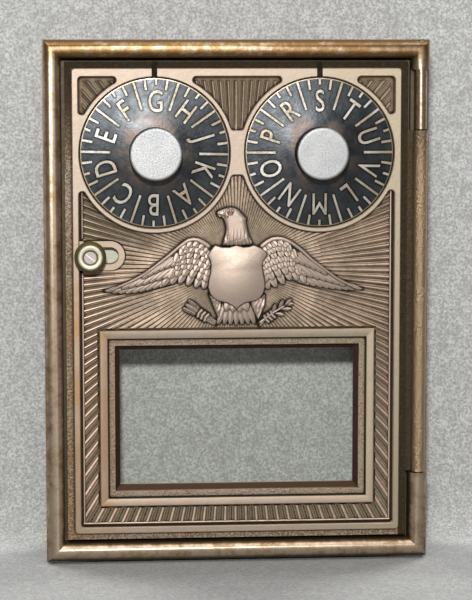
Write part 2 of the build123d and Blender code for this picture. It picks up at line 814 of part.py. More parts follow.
# Latch bolt: a brass block on the back of the slide, stepped to pass behind the keeper.
with BuildPart() as latch_bolt:
    with BuildSketch(Plane.XZ.offset(bolt_back)):
        with Locations((bolt_left, latch_z)):
            Rectangle(bolt_right - bolt_left, slide_height, align=(Align.MIN, Align.CENTER))
    extrude(amount=bolt_thickness)
    with BuildSketch(Plane.XZ.offset(bolt_face)):
        with Locations((slide_left, latch_z)):
            Rectangle(bolt_right - slide_left, slide_height, align=(Align.MIN, Align.CENTER))
    extrude(amount=slide_back - bolt_face)
    chamfer(latch_bolt.edges().filter_by(Axis.Z).group_by(Axis.X)[0], 2 * edge_break)
    with BuildSketch(Plane.XZ.offset(bolt_back)):
        with Locations(*rivet_places):
            Circle(rivet_radius + seat_fit)
    extrude(amount=slide_back - bolt_back, mode=Mode.SUBTRACT)
latch_bolt.part.label = "latch_bolt"
export_step(latch_bolt.part, "parts/latch_bolt.step")


# Bolt rivets: two brass pins, closed flush on both sides, through the bolt and the slide.
with BuildPart() as bolt_rivets:
    with BuildSketch(Plane.XZ.offset(bolt_back)):
        with Locations(*rivet_places):
            Circle(rivet_radius)
    extrude(amount=slide_face - bolt_back)
bolt_rivets.part.label = "bolt_rivets"
export_step(bolt_rivets.part, "parts/bolt_rivets.step")


# Fence lugs: a steel block on the end of each arm, level with its tumbler wheel.
with BuildPart() as fence_lugs:
    with BuildSketch(Plane.XZ.offset(slide_back)):
        for end_x in fence_ends:
            with Locations((end_x, fence_z)):
                Rectangle(arm_width, fence_height, align=(Align.MAX, Align.CENTER))
    extrude(amount=tumbler_back - slide_back)
    chamfer(fence_lugs.edges().filter_by(Axis.Y), edge_break)
fence_lugs.part.label = "fence_lugs"
export_step(fence_lugs.part, "parts/fence_lugs.step")


# Latch stem: a brass rod riveted into the slide; its thin end goes through the knob and is spread.
latch_knob_back = land_face + latch_knob_gap
latch_knob_face = latch_knob_back + latch_knob_height
with BuildPart() as latch_stem:
    for radius, low, high in (
        (stem_radius, slide_back, latch_knob_back),
        (stem_end_radius, latch_knob_back, latch_knob_face - dish_depth),
    ):
        with BuildSketch(Plane.XZ.offset(low)):
            with Locations((latch_x, latch_z)):
                Circle(radius)
        extrude(amount=high - low)
latch_stem.part.label = "latch_stem"
export_step(latch_stem.part, "parts/latch_stem.step")


# Latch knob: turned brass, round in the side, with a shallow dish round the end of the stem.
with BuildPart() as latch_knob:
    with BuildSketch(Plane(origin=(latch_x, 0, latch_z), x_dir=(1, 0, 0), z_dir=(0, 0, 1))):
        with BuildLine():
            bore = stem_end_radius + seat_fit
            face_edge = latch_face_radius + edge_break
            Polyline(
                (latch_face_radius, -latch_knob_face),
                (bore, dish_depth - latch_knob_face),
                (bore, -latch_knob_back),
                (latch_face_radius, -latch_knob_back),
            )
            ThreePointArc(
                (latch_face_radius, -latch_knob_back),
                (latch_knob_radius, -(latch_knob_back + latch_knob_face) / 2),
                (face_edge, -latch_knob_face),
            )
            Line((face_edge, -latch_knob_face), (latch_face_radius, -latch_knob_face))
        make_face()
    revolve(axis=Axis((latch_x, 0, latch_z), (0, 1, 0)))
latch_knob.part.label = "latch_knob"
export_step(latch_knob.part, "parts/latch_knob.step")


# Guide screws: two shouldered screws in the casting, on which the slots of the slide run.
with BuildPart() as slide_guide_screws:
    guide_head_face = slide_back - guide_fit
    for radius, low, high in (
        (guide_head_radius, guide_head_face - guide_head_height, guide_head_face),
        (guide_shoulder_radius, guide_head_face, door_back),
        (guide_thread_radius, door_back, door_back + guide_thread_length),
    ):
        with BuildSketch(Plane.XZ.offset(low)):
            with Locations(*guide_places):
                Circle(radius)
        extrude(amount=high - low)
    chamfer(slide_guide_screws.edges().group_by(Axis.Y)[-1], edge_break)
    with BuildSketch(Plane.XZ.offset(guide_head_face - guide_head_height)):
        with Locations(*guide_places):
            Rectangle(3 * guide_head_radius, driver_slot_width)
    extrude(amount=guide_head_height / 2, mode=Mode.SUBTRACT)
slide_guide_screws.part.label = "slide_guide_screws"
export_step(slide_guide_screws.part, "parts/slide_guide_screws.step")


# Spring guide pin: pressed into the lug, it keeps the spring straight.
with BuildPart() as spring_guide_pin:
    with BuildSketch(Plane.YZ.offset(lug_face + lug_thickness)):
        with Locations((-spring_height, spring_z)):
            Circle(guide_pin_radius)
    extrude(amount=-(spring_length + lug_thickness - latch_travel - 2 * slide_gap))
spring_guide_pin.part.label = "spring_guide_pin"
export_step(spring_guide_pin.part, "parts/spring_guide_pin.step")


# Latch spring: a steel coil between the tab of the slide and the lug, which shuts the latch.
with BuildPart() as latch_spring:
    coil_start = spring_left + spring_end_gap
    coil_length = spring_length - 2 * spring_end_gap
    with BuildLine() as coil_path:
        Helix(
            pitch=coil_length / spring_turns,
            height=coil_length,
            radius=spring_radius,
            center=(coil_start, -spring_height, spring_z),
            direction=(1, 0, 0),
        )
    with BuildSketch(Plane(origin=coil_path.line @ 0, z_dir=coil_path.line % 0)) as wire_section:
        RegularPolygon(spring_wire_radius, wire_facets)
    sweep(sections=wire_section.sketch, path=coil_path.line, is_frenet=True)
latch_spring.part.label = "latch_spring"
export_step(latch_spring.part, "parts/latch_spring.step")
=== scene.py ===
"""Looks of the brass post office box door, in metres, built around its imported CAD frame."""

from math import atan2, cos, hypot, pi, radians, sin

import bmesh
import bpy
from mathutils import Matrix, Vector
from mathutils.geometry import delaunay_2d_cdt


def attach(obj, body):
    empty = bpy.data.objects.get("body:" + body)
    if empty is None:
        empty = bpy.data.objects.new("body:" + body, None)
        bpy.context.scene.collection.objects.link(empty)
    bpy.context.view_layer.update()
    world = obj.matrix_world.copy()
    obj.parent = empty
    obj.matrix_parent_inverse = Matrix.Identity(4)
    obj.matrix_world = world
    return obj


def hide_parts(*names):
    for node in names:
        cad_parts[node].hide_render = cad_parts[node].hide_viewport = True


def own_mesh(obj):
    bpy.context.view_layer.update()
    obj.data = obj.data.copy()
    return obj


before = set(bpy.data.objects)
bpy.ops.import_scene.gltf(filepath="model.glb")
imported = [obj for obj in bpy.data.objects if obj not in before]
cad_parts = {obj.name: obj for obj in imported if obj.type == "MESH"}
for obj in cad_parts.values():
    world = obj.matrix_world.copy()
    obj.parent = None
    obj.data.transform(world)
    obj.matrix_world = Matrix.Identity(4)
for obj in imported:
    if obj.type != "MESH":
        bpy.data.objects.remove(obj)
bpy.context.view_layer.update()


# ---- Frame casting ---------------------------------------
# One brass casting: a sleeve that goes into the cabinet, and a half-round border in front of it.
# The border was polished and has dulled; its crown is worn bright, which also paints its highlight, its top
# bar is painted darker as shade, and its corners and gap are dark with dirt and painted shade.
mm = 0.001
smooth_angle = radians(32)
weld = 0.002 * mm
cast_edge = 0.12 * mm
# The grime colour stands for dirt specks and for painted shade in hollows.
grime_and_shade_colour = (0.085, 0.075, 0.050)


def mesh_from(bm, name):
    """Turns a bmesh into a mesh."""
    mesh = bpy.data.meshes.new(name)
    bm.to_mesh(mesh)
    bm.free()
    return mesh


def in_scene(name, data):
    """A new object of the scene that holds a mesh, a text, a lamp or a camera."""
    made = bpy.data.objects.new(name, data)
    bpy.context.scene.collection.objects.link(made)
    return made


def finished(bm, name, body, finish, edge=0.0, stands_for=()):
    """Makes a piece of a bmesh: smooth, sharp where its faces turn, and riding on its body."""
    for face in bm.faces:
        face.smooth = True
    for line in bm.edges:
        line.smooth = line.calc_face_angle(0.0) < smooth_angle
    mesh = mesh_from(bm, name)
    if "custom_normal" in mesh.attributes:
        mesh.attributes.remove(mesh.attributes["custom_normal"])
    mesh.materials.append(finish)
    piece = in_scene(name, mesh)
    if edge:
        bevel = piece.modifiers.new("broken edges", "BEVEL")
        bevel.width = edge
        bevel.segments = 2
        bevel.limit_method = "ANGLE"
        bevel.angle_limit = smooth_angle
        bevel.miter_outer = "MITER_ARC"
    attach(piece, body)
    if stands_for:
        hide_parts(*stands_for)
    return piece


def welded(node):
    """A CAD piece's triangles in a bmesh, joined at their corners."""
    bm = bmesh.new()
    bm.from_mesh(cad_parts[node].data)
    bmesh.ops.remove_doubles(bm, verts=bm.verts, dist=weld)
    return bm


def dress(node, body, finish, edge):
    """Gives a CAD piece a smooth copy of itself with its edges broken."""
    finished(welded(node), node + "_dressed", body, finish, edge, (node,))


def put(tree, value, socket):
    """Links a node's output to a socket, or sets the socket's own value; a colour's alpha is 1."""
    if isinstance(value, bpy.types.NodeSocket):
        tree.links.new(value, socket)
    else:
        socket.default_value = (*value, 1.0) if socket.type == "RGBA" else value


def node(tree, kind, values=(), **settings):
    """Adds a shader node; values pairs its sockets' names or numbers with what goes in."""
    made = tree.nodes.new("ShaderNode" + kind)
    for key, value in settings.items():
        setattr(made, key, value)
    for key, value in dict(values).items():
        put(tree, value, made.inputs[key])
    return made


def calc(tree, operation, *values):
    """One step of arithmetic on masks."""
    return node(tree, "Math", dict(enumerate(values)), operation=operation).outputs[0]


def span(tree, value, low, high, start=0.0, stop=1.0, ease="SMOOTHSTEP"):
    """Spreads low to high over start to stop, clamped."""
    sockets = {0: value, 1: low, 2: high, 3: start, 4: stop}
    return node(tree, "MapRange", sockets, interpolation_type=ease).outputs[0]


def blend(tree, mask, first, second):
    """Mixes two colours by a mask."""
    made = node(tree, "Mix", data_type="RGBA")
    for place, value in ((0, mask), (6, first), (7, second)):
        put(tree, value, made.inputs[place])
    return made.outputs[2]


def place_mm(tree):
    """The surface's own place in millimetres."""
    own = node(tree, "TexCoord").outputs["Object"]
    return node(tree, "VectorMath", {0: own, "Scale": 1 / mm}, operation="SCALE").outputs[0]


def up_from_seat(tree):
    """How far a point stands in front of the seat, and its X and Z, in millimetres."""
    apart = node(tree, "SeparateXYZ", {0: place_mm(tree)}).outputs
    return calc(tree, "MULTIPLY", apart["Y"], -1.0), apart["X"], apart["Z"]


def noise(tree, where, size, detail=3.0, roughness=0.55):
    """Cloudy noise with spots of about that size in millimetres."""
    sockets = {"Vector": where, "Scale": 1 / size, "Detail": detail, "Roughness": roughness}
    return node(tree, "TexNoise", sockets).outputs["Fac"]


def hollow_shade_and_dirt(tree, reach, low=0.35, high=0.85):
    """A mask of corners and crevices within reach, in metres, from occlusion: painted shade there, where dirt
    also stays.
    """
    shade = node(tree, "AmbientOcclusion", {"Distance": reach}, samples=12)
    return span(tree, shade.outputs["AO"], low, high, 1.0, 0.0)


def blank(name):
    """A material with nothing in its node tree yet."""
    material = bpy.data.materials.new(name)
    material.use_nodes = True
    material.node_tree.nodes.clear()
    return material, material.node_tree


def shaded(name, tree_of, metallic=0.85, bump=0.03 * mm):
    """A material whose colour, roughness and height come from tree_of(tree)."""
    material, tree = blank(name)
    colour, rough, height = tree_of(tree)
    bumps = node(tree, "Bump", {"Height": height, "Distance": bump, "Strength": 1.0}).outputs[0]
    sockets = {"Metallic": metallic, "Base Color": colour, "Roughness": rough, "Normal": bumps}
    surface = node(tree, "BsdfPrincipled", sockets)
    node(tree, "OutputMaterial", {"Surface": surface.outputs[0]})
    return material


def brass_group():
    """Old brass: bright where it is rubbed, brown where it is not, green-grey dirt and painted shade in its
    corners.
    """
    tree = bpy.data.node_groups.new("old_brass", "ShaderNodeTree")
    for way, kind, labels in (
        ("INPUT", "NodeSocketFloat", ("Wear", "DirtAndShade")),
        ("INPUT", "NodeSocketColor", ("Bright", "Dull", "GrimeAndShade")),
        ("OUTPUT", "NodeSocketColor", ("Colour",)),
        ("OUTPUT", "NodeSocketFloat", ("Roughness", "Height")),
    ):
        for label in labels:
            tree.interface.new_socket(label, in_out=way, socket_type=kind)
    given = tree.nodes.new("NodeGroupInput").outputs
    result = tree.nodes.new("NodeGroupOutput").inputs
    where = place_mm(tree)
    patches = noise(tree, where, 5.0, 4.0, 0.6)
    spots = noise(tree, where, 0.9, 4.0, 0.65)
    grain = noise(tree, where, 0.22, 2.0)
    uneven = calc(tree, "SUBTRACT", calc(tree, "MULTIPLY_ADD", patches, 0.9, -0.45), 0.35)
    uneven = calc(tree, "MULTIPLY_ADD", spots, 0.7, uneven)
    wear = span(tree, calc(tree, "ADD", given["Wear"], uneven), 0.0, 1.0)
    metal = blend(tree, wear, given["Dull"], given["Bright"])
    metal = blend(tree, span(tree, grain, 0.58, 0.72, 0.0, 0.35), metal, given["GrimeAndShade"])
    # Dirt and painted shade: where the corner mask and the spots meet, the metal turns to the grime colour.
    dirt_and_shade_share = calc(tree, "MULTIPLY", given["DirtAndShade"], span(tree, spots, 0.2, 0.6, 0.75, 1.0))
    put(tree, blend(tree, dirt_and_shade_share, metal, given["GrimeAndShade"]), result["Colour"])
    rough = calc(tree, "MULTIPLY_ADD", dirt_and_shade_share, 0.3, span(tree, wear, 0.0, 1.0, 0.62, 0.47))
    put(tree, calc(tree, "MULTIPLY_ADD", spots, 0.12, rough), result["Roughness"])
    put(tree, calc(tree, "MULTIPLY_ADD", grain, 0.35, spots), result["Height"])
    return tree


old_brass = brass_group()


def brass_in(tree, wear, dirt_and_shade, bright, dull, grime_and_shade=grime_and_shade_colour):
    """Places the old brass group in a material and gives its colour, roughness and height."""
    sockets = {"Wear": wear, "DirtAndShade": dirt_and_shade, "Bright": bright, "Dull": dull, "GrimeAndShade": grime_and_shade}
    return tuple(node(tree, "Group", sockets, node_tree=old_brass).outputs)


def frame_brass(tree):
    rise, _, z = up_from_seat(tree)
    # The crown is worn bright, and that bright colour also stands in for its highlight.
    crown_wear_and_highlight = span(tree, rise, 1.6, 4.2, -0.35, 0.8)
    # Painted shade: the top bar is darkened, to tone down its highlight.
    top_bar_shade = span(tree, z, 54.0, 57.0, 0.0, 0.55)
    patches = span(tree, noise(tree, place_mm(tree), 2.4, 5.0, 0.7), 0.3, 0.7, -0.35, 0.3)
    wear = calc(tree, "ADD", calc(tree, "SUBTRACT", crown_wear_and_highlight, top_bar_shade), patches)
    # Painted shade: the low faces by the gap go dark, and the occlusion mask darkens the corners.
    gap_shade = calc(tree, "MULTIPLY", span(tree, rise, 0.8, 2.6, 0.95, 0.0), span(tree, rise, -0.8, 0.0))
    dirt_and_shade = calc(tree, "MAXIMUM", hollow_shade_and_dirt(tree, 2.5 * mm), gap_shade)
    colour, rough, height = brass_in(tree, wear, dirt_and_shade, (0.58, 0.45, 0.325), (0.24, 0.135, 0.05))
    return colour, calc(tree, "MULTIPLY", rough, 0.58), height


dress("frame_casting", "frame", shaded("frame_brass", frame_brass), cast_edge)


# ---- Hinge pin -------------------------------------------
# A plain steel rod, pressed down through both knuckles and the barrel. Only its ends can be seen.
# It shares the grey of the hidden screws, nuts, washers and spring.
def plain_steel(tree):
    streaks = noise(tree, place_mm(tree), 0.5)
    colour = blend(tree, streaks, (0.22, 0.215, 0.20), (0.42, 0.41, 0.39))
    # Painted shade: the occlusion mask darkens the steel in its hollows.
    colour = blend(tree, hollow_shade_and_dirt(tree, 1.0 * mm), colour, (0.05, 0.045, 0.04))
    return colour, span(tree, streaks, 0.3, 0.7, 0.35, 0.5), streaks


def coat(name, material):
    """Gives a CAD piece that is shown as it is its own finish."""
    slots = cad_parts[name].data.materials
    slots.clear()
    slots.append(material)


steel = shaded("plain_steel", plain_steel)
coat("hinge_pin", steel)


# ---- Door casting ----------------------------------------
# The door is one brass casting with a raised rim and dial rings, a window moulding and the barrel.
# Its raised faces are rubbed bright; the panel keeps brown and green-grey dirt and painted shade, and the
# edge is rough.
# The CAD's plain eagle is pressed flat in this copy, to make room for the carved one.
rim_half_width = 37.85
rim_half_height = 53.83
dial_x = 18.94
dial_z = 34.53
window_middle_z = -26.93
inner_band = (29.9, 18.55)
band_line = 0.22
barrel_from_x = 39.5
panel_rise = 1.6
door_edge = 0.08 * mm
notch_half_width = 0.66
notch_foot = 17.0
plain_eagle_top = 2.75
plain_eagle_half_width = 32.0
plain_eagle_low, plain_eagle_high = -6.2, 22.5
dial_ring_radius = 18.7
boss_right_x, boss_low_z = -25.5, 6.5
draft = 1.15
draft_half_width, draft_half_height = 28.4, 17.05
draft_steps = ((-0.05, 1.2), (0.0, 0.9), (draft, 0.25), (draft, -0.3))


def within(tree, x, z, half_width, half_height, middle_z=0.0):
    """A mask of what lies within a rectangle of the door's front."""
    up = calc(tree, "ABSOLUTE", calc(tree, "SUBTRACT", z, middle_z))
    across = calc(tree, "LESS_THAN", calc(tree, "ABSOLUTE", x), half_width)
    return calc(tree, "MULTIPLY", across, calc(tree, "LESS_THAN", up, half_height))


def door_brass(tree):
    rise, x, z = up_from_seat(tree)
    outside_rim = calc(tree, "SUBTRACT", 1.0, within(tree, x, z, rim_half_width, rim_half_height))
    near_window = within(tree, x, z, *inner_band, window_middle_z)
    rough_cast = calc(tree, "MAXIMUM", outside_rim, near_window)
    # Painted shade: the strip under the top bar and the strip by the barrel are darkened, where the border
    # and barrel cast shadow.
    top_strip = calc(tree, "MULTIPLY", outside_rim, span(tree, z, 25.0, 53.0))
    hinge_side = span(tree, x, rim_half_width - 0.1, rim_half_width + 0.1)
    hinge_side = calc(tree, "MULTIPLY", hinge_side, calc(tree, "LESS_THAN", rise, 2.3))
    in_shade = calc(tree, "MAXIMUM", top_strip, hinge_side)
    pits = noise(tree, place_mm(tree), 0.45, 3.0, 0.6)
    peaks = calc(tree, "MULTIPLY_ADD", in_shade, -0.9, span(tree, pits, 0.42, 0.62, 0.0, 0.8))
    wear = calc(tree, "MULTIPLY_ADD", rough_cast, peaks, span(tree, rise, 1.5, 3.0, 0.12, 1.0))
    # Painted shade: the notches above the dials are painted near black.
    from_dial = calc(tree, "SUBTRACT", calc(tree, "ABSOLUTE", x), dial_x)
    notch = calc(tree, "LESS_THAN", calc(tree, "ABSOLUTE", from_dial), notch_half_width)
    notch = calc(tree, "MULTIPLY", notch, calc(tree, "GREATER_THAN", z, dial_z + notch_foot))
    notch = calc(tree, "MULTIPLY", notch, calc(tree, "LESS_THAN", rise, 2.9))
    # Painted shade from occlusion, with dirt, in the corners, then the painted shade of the notches and
    # strips.
    dirt_and_shade = calc(tree, "MAXIMUM", hollow_shade_and_dirt(tree, 0.9 * mm, 0.45, 0.92), notch)
    dirt_and_shade = calc(tree, "MAXIMUM", dirt_and_shade, calc(tree, "MULTIPLY", in_shade, 0.8))
    clouds = span(tree, noise(tree, place_mm(tree), 9.0), 0.35, 0.6, 0.35, 1.0)
    warm = calc(tree, "MULTIPLY", clouds, span(tree, x, -35.0, -22.0, 0.95, 0.12))
    warm = calc(tree, "MULTIPLY", warm, span(tree, z, -5.0, 25.0, 1.0, 0.0))
    barrel = calc(tree, "GREATER_THAN", x, barrel_from_x)
    warm = calc(tree, "MAXIMUM", warm, calc(tree, "MULTIPLY", barrel, 0.75))
    # Painted light: the bright colour is a little lighter and yellower towards the hinge side.
    pale = blend(tree, span(tree, x, 5.0, 36.0), (0.50, 0.405, 0.32), (0.50, 0.42, 0.30))
    bright = blend(tree, warm, pale, (0.46, 0.29, 0.155))
    dull, grime_and_shade = (0.27, 0.18, 0.10), (0.045, 0.036, 0.025)
    colour, rough, height = brass_in(tree, wear, dirt_and_shade, bright, dull, grime_and_shade)
    wide, narrow = (
        within(tree, x, z, *(half + step for half in inner_band), window_middle_z)
        for step in (band_line, -band_line)
    )
    line = calc(tree, "MULTIPLY", calc(tree, "SUBTRACT", wide, narrow), calc(tree, "GREATER_THAN", rise, 0.0))
    colour = blend(tree, calc(tree, "MULTIPLY", line, 0.9), colour, (0.02, 0.014, 0.009))
    rough = calc(tree, "MULTIPLY", rough, calc(tree, "MULTIPLY_ADD", barrel, -0.35, 1.0))
    height = calc(tree, "MULTIPLY_ADD", calc(tree, "MULTIPLY", rough_cast, pits), 11.0, height)
    return colour, rough, height


bm = bmesh.new()
bm.from_mesh(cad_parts["door_casting"].data)
for vert in bm.verts:
    x, rise, z = vert.co.x / mm, -vert.co.y / mm, vert.co.z / mm
    raised = panel_rise + 0.02 < rise < plain_eagle_top
    amid = abs(x) < plain_eagle_half_width and plain_eagle_low < z < plain_eagle_high
    off_dials = hypot(abs(x) - dial_x, z - dial_z) > dial_ring_radius
    off_boss = x >= boss_right_x or z <= boss_low_z
    if raised and amid and off_dials and off_boss:
        vert.co.y = -panel_rise * mm
bmesh.ops.remove_doubles(bm, verts=bm.verts, dist=weld)
bmesh.ops.dissolve_degenerate(bm, edges=bm.edges, dist=weld / 2)
door_finish = shaded("door_brass", door_brass)
finished(bm, "door_casting_dressed", "door", door_finish, door_edge, ("door_casting",))


def draft_brown(tree):
    spots = noise(tree, place_mm(tree), 0.9, 4.0, 0.6)
    colour = blend(tree, spots, (0.03, 0.016, 0.010), (0.11, 0.062, 0.035))
    return colour, span(tree, spots, 0.3, 0.7, 0.55, 0.7), spots


bm = bmesh.new()
rings = []
for inset, rise in draft_steps:
    half_x, half_z = draft_half_width - inset, draft_half_height - inset
    ring = [
        bm.verts.new((half_x * sx * mm, -rise * mm, (window_middle_z + half_z * sz) * mm))
        for sx, sz in ((-1, -1), (1, -1), (1, 1), (-1, 1))
    ]
    rings.append([bm.edges.new((a, b)) for a, b in zip(ring, ring[1:] + ring[:1])])
for first, second in zip(rings, rings[1:]):
    bmesh.ops.bridge_loops(bm, edges=first + second)
bmesh.ops.recalc_face_normals(bm, faces=bm.faces)
if sum(face.normal.y for face in bm.faces) > 0:
    bmesh.ops.reverse_faces(bm, faces=bm.faces)
finished(bm, "window_draft", "door", shaded("draft_brown", draft_brown))


# ---- Sunburst --------------------------------------------
# Fine ribs cast on the panel, which spread from the middle of the eagle to just short of the rim.
# Their tops are rubbed, the grooves between them hold dark dirt and painted shade, and a thin bead runs round
# them.
burst_x = -0.3
burst_z = 7.9
ray_count = 150
ray_near = (0.0, 0.75, 1.0, 0.85, 0.7, 0.85, 1.0, 0.75)
ray_far = (0.0, 0.0, 0.05, 0.85, 1.0, 0.35, 0.75, 0.05)
far_radius = 30.0
ray_rings = ((4.0, 0.01), (10.0, 0.06), (20.0, 0.2), (36.0, 0.42), (80.0, 0.45))
ray_foot = 0.3
panel_half_width, panel_half_height, panel_middle_z = 36.35, 52.1, -0.2
smooth_strip = 1.0
ring_outer = 18.35 + 0.2
moulding_half_width, moulding_half_height = 31.9 + 0.5, 20.55 + 0.5
latch_z = 11.03
boss_half_width, boss_radius, boss_x, boss_end_x = 4.1, 3.6, -33.3, -29.25
cutter_depth = 8.0
bead_in = 0.72
bead_width, bead_foot, bead_rise = 0.48, 1.75, 0.3
bead_top_z, boss_gap = 26.4, (15.0, 7.0)
across_bar = (-1.0, -0.8, -0.4, 0.0, 0.4, 0.8, 1.0)


def cut_by(target, cutters, operation):
    """Cuts a mesh object by others, applies the cut and removes the cutters."""
    for cutter in cutters:
        cut = target.modifiers.new("cut", "BOOLEAN")
        cut.operation = operation
        cut.solver = "EXACT"
        cut.object = cutter
    result = target.evaluated_get(bpy.context.evaluated_depsgraph_get())
    result = bpy.data.meshes.new_from_object(result)
    target.modifiers.clear()
    target.data = result
    for cutter in cutters:
        bpy.data.objects.remove(cutter)


def block(half_x, half_z, x, z):
    """A box through the panel, for cutting."""
    bm = bmesh.new()
    size = Matrix.Diagonal((2 * half_x * mm, cutter_depth * mm, 2 * half_z * mm, 1))
    bmesh.ops.create_cube(bm, size=1.0, matrix=Matrix.Translation((x * mm, 0, z * mm)) @ size)
    return in_scene("block", mesh_from(bm, "block"))


def disc(radius, x, z):
    """A round bar through the panel, for cutting."""
    bm = bmesh.new()
    stand = Matrix.Translation((x * mm, 0, z * mm)) @ Matrix.Rotation(pi / 2, 4, "X")
    sizes = {"radius1": radius * mm, "radius2": radius * mm, "depth": cutter_depth * mm}
    bmesh.ops.create_cone(bm, cap_ends=True, segments=120, matrix=stand, **sizes)
    return in_scene("disc", mesh_from(bm, "disc"))


def kind_in(made, kind):
    """The vertices, edges or faces in what a bmesh operator made."""
    return [part for part in made if isinstance(part, kind)]


bm = bmesh.new()
steps = len(ray_near) * ray_count
ring = bmesh.ops.create_circle(bm, segments=steps, radius=ray_rings[0][0] * mm)["verts"]
edges = list(bm.edges)
rows = [ring]
for (inner, _), (outer, _) in zip(ray_rings, ray_rings[1:]):
    grown = bmesh.ops.extrude_edge_only(bm, edges=edges)["geom"]
    ring, edges = kind_in(grown, bmesh.types.BMVert), kind_in(grown, bmesh.types.BMEdge)
    bmesh.ops.scale(bm, vec=(outer / inner, outer / inner, 1), verts=ring)
    rows.append(ring)
for ring, (radius, rib) in zip(rows, ray_rings):
    shape = ray_far if radius > far_radius else ray_near
    for point in ring:
        turn = atan2(point.co.y, point.co.x) % (2 * pi)
        phase = round(turn / (2 * pi) * steps) % len(shape)
        point.co.z = rib * shape[phase] * mm
sides = bmesh.ops.extrude_face_region(bm, geom=list(bm.faces))["geom"]
for point in kind_in(sides, bmesh.types.BMVert):
    point.co.z = -ray_foot * mm
bmesh.ops.recalc_face_normals(bm, faces=bm.faces)
stand = Matrix.Translation((burst_x * mm, -panel_rise * mm, burst_z * mm))
bmesh.ops.transform(bm, matrix=stand @ Matrix.Rotation(pi / 2, 4, "X"), verts=bm.verts)
rays = in_scene("sunburst", mesh_from(bm, "sunburst"))
ribbed = block(panel_half_width - smooth_strip, panel_half_height - smooth_strip, 0, panel_middle_z)
openings = [
    disc(ring_outer, -dial_x, dial_z),
    disc(ring_outer, dial_x, dial_z),
    block(moulding_half_width, moulding_half_height, 0, window_middle_z),
    block(boss_half_width, boss_radius, boss_x, latch_z),
    disc(boss_radius, boss_end_x, latch_z),
]
cut_by(rays, [ribbed], "INTERSECT")
cut_by(rays, openings, "DIFFERENCE")
bm = bmesh.new()
bm.from_mesh(rays.data)
bpy.data.objects.remove(rays)
lowest, highest = panel_rise - ray_foot - 0.05, panel_rise + 0.55
spare = [
    v for v in bm.verts
    if not lowest < -v.co.y / mm < highest or v.co.x < (0.25 - panel_half_width) * mm
]
bmesh.ops.delete(bm, geom=spare, context="VERTS")


def ray_brass(tree):
    rise, x, z = up_from_seat(tree)
    from_middle = calc(tree, "ABSOLUTE", calc(tree, "SUBTRACT", z, 9.0))
    far = span(tree, from_middle, 20.0, 42.0, 0.22, -0.1)
    beside = span(tree, calc(tree, "ABSOLUTE", x), 26.0, 33.0, 0.22, 0.05)
    groove = calc(tree, "MINIMUM", far, beside)
    wear = span(tree, rise, panel_rise + 0.03, panel_rise + 0.38, groove, 0.95, "LINEAR")
    corner = calc(tree, "MULTIPLY", span(tree, x, -32.0, -10.0, 1.0, 0.0), span(tree, z, 5.0, 24.0))
    above_dials = calc(tree, "GREATER_THAN", z, 41.0)
    corner = calc(tree, "MULTIPLY_ADD", above_dials, span(tree, x, -24.0, -22.0, 1.0, 0.35), corner)
    dark = calc(tree, "MAXIMUM", corner, span(tree, z, -50.0, -44.0, 0.35, 0.0))
    wear = calc(tree, "MULTIPLY_ADD", dark, -0.65, wear)
    bright, dull, grime_and_shade = (0.80, 0.61, 0.47), (0.30, 0.24, 0.165), (0.035, 0.025, 0.016)
    # Painted shade: the occlusion mask darkens the grooves.
    return brass_in(tree, wear, hollow_shade_and_dirt(tree, 0.7 * mm, 0.4, 0.95), bright, dull, grime_and_shade)


ray_finish = shaded("ray_brass", ray_brass, bump=0.055 * mm)
finished(bm, "sunburst_rays", "door", ray_finish)


def dirt_and_shade_edge(bm):
    """The layer that tells a material where a form's dark edge is, painted as dirt and shade."""
    return bm.verts.layers.float.get("line") or bm.verts.layers.float.new("line")


def strip(bm, rows, foot=1.5):
    """Joins rows of (x, z, rise) into a patch, marks its edge and drops a skirt to the panel from it."""
    line = dirt_and_shade_edge(bm)
    grid = [[bm.verts.new((x * mm, -h * mm, z * mm)) for x, z, h in row] for row in rows]
    for one, two in zip(grid, grid[1:]):
        for a, b, c, d in zip(one, one[1:], two[1:], two):
            bm.faces.new((a, b, c, d))
    right, left = [row[-1] for row in grid[1:-1]], [row[0] for row in grid[-2:0:-1]]
    edge = grid[0] + right + grid[-1][::-1] + left
    skirt = [bm.verts.new((v.co.x, -foot * mm, v.co.z)) for v in edge]
    for vert in edge + skirt:
        vert[line] = 1.0
    for i, vert in enumerate(edge):
        j = (i + 1) % len(edge)
        bm.faces.new((vert, skirt[i], skirt[j], edge[j]))


def bar(bm, line, widths, base, rise):
    """A rounded bar that follows a line and changes in width."""
    rows = []
    last = len(line) - 1
    for i, (x, z) in enumerate(line):
        before, after = line[max(i - 1, 0)], line[min(i + 1, last)]
        length = hypot(after[0] - before[0], after[1] - before[1])
        nx, nz = -(after[1] - before[1]) / length, (after[0] - before[0]) / length
        half = (widths[0] + (widths[1] - widths[0]) * i / last) / 2
        rows.append([
            (x + nx * s * half, z + nz * s * half, base + rise * (1 - s * s) ** 0.5) for s in across_bar
        ])
    strip(bm, rows)


side_x, foot_z = panel_half_width - bead_in, panel_middle_z - panel_half_height + bead_in
bm = bmesh.new()
for line in (
    ((-side_x, bead_top_z), (-side_x, 20.0), (-side_x, boss_gap[0])),
    ((-side_x, boss_gap[1]), (-side_x, -20.0), (-side_x, foot_z)),
    ((-side_x - 0.2, foot_z), (0.0, foot_z), (side_x + 0.2, foot_z)),
    ((side_x, foot_z), (side_x, -20.0), (side_x, bead_top_z)),
):
    bar(bm, line, (bead_width, bead_width), bead_foot, bead_rise)
bmesh.ops.recalc_face_normals(bm, faces=bm.faces)
finished(bm, "panel_bead", "door", ray_finish)


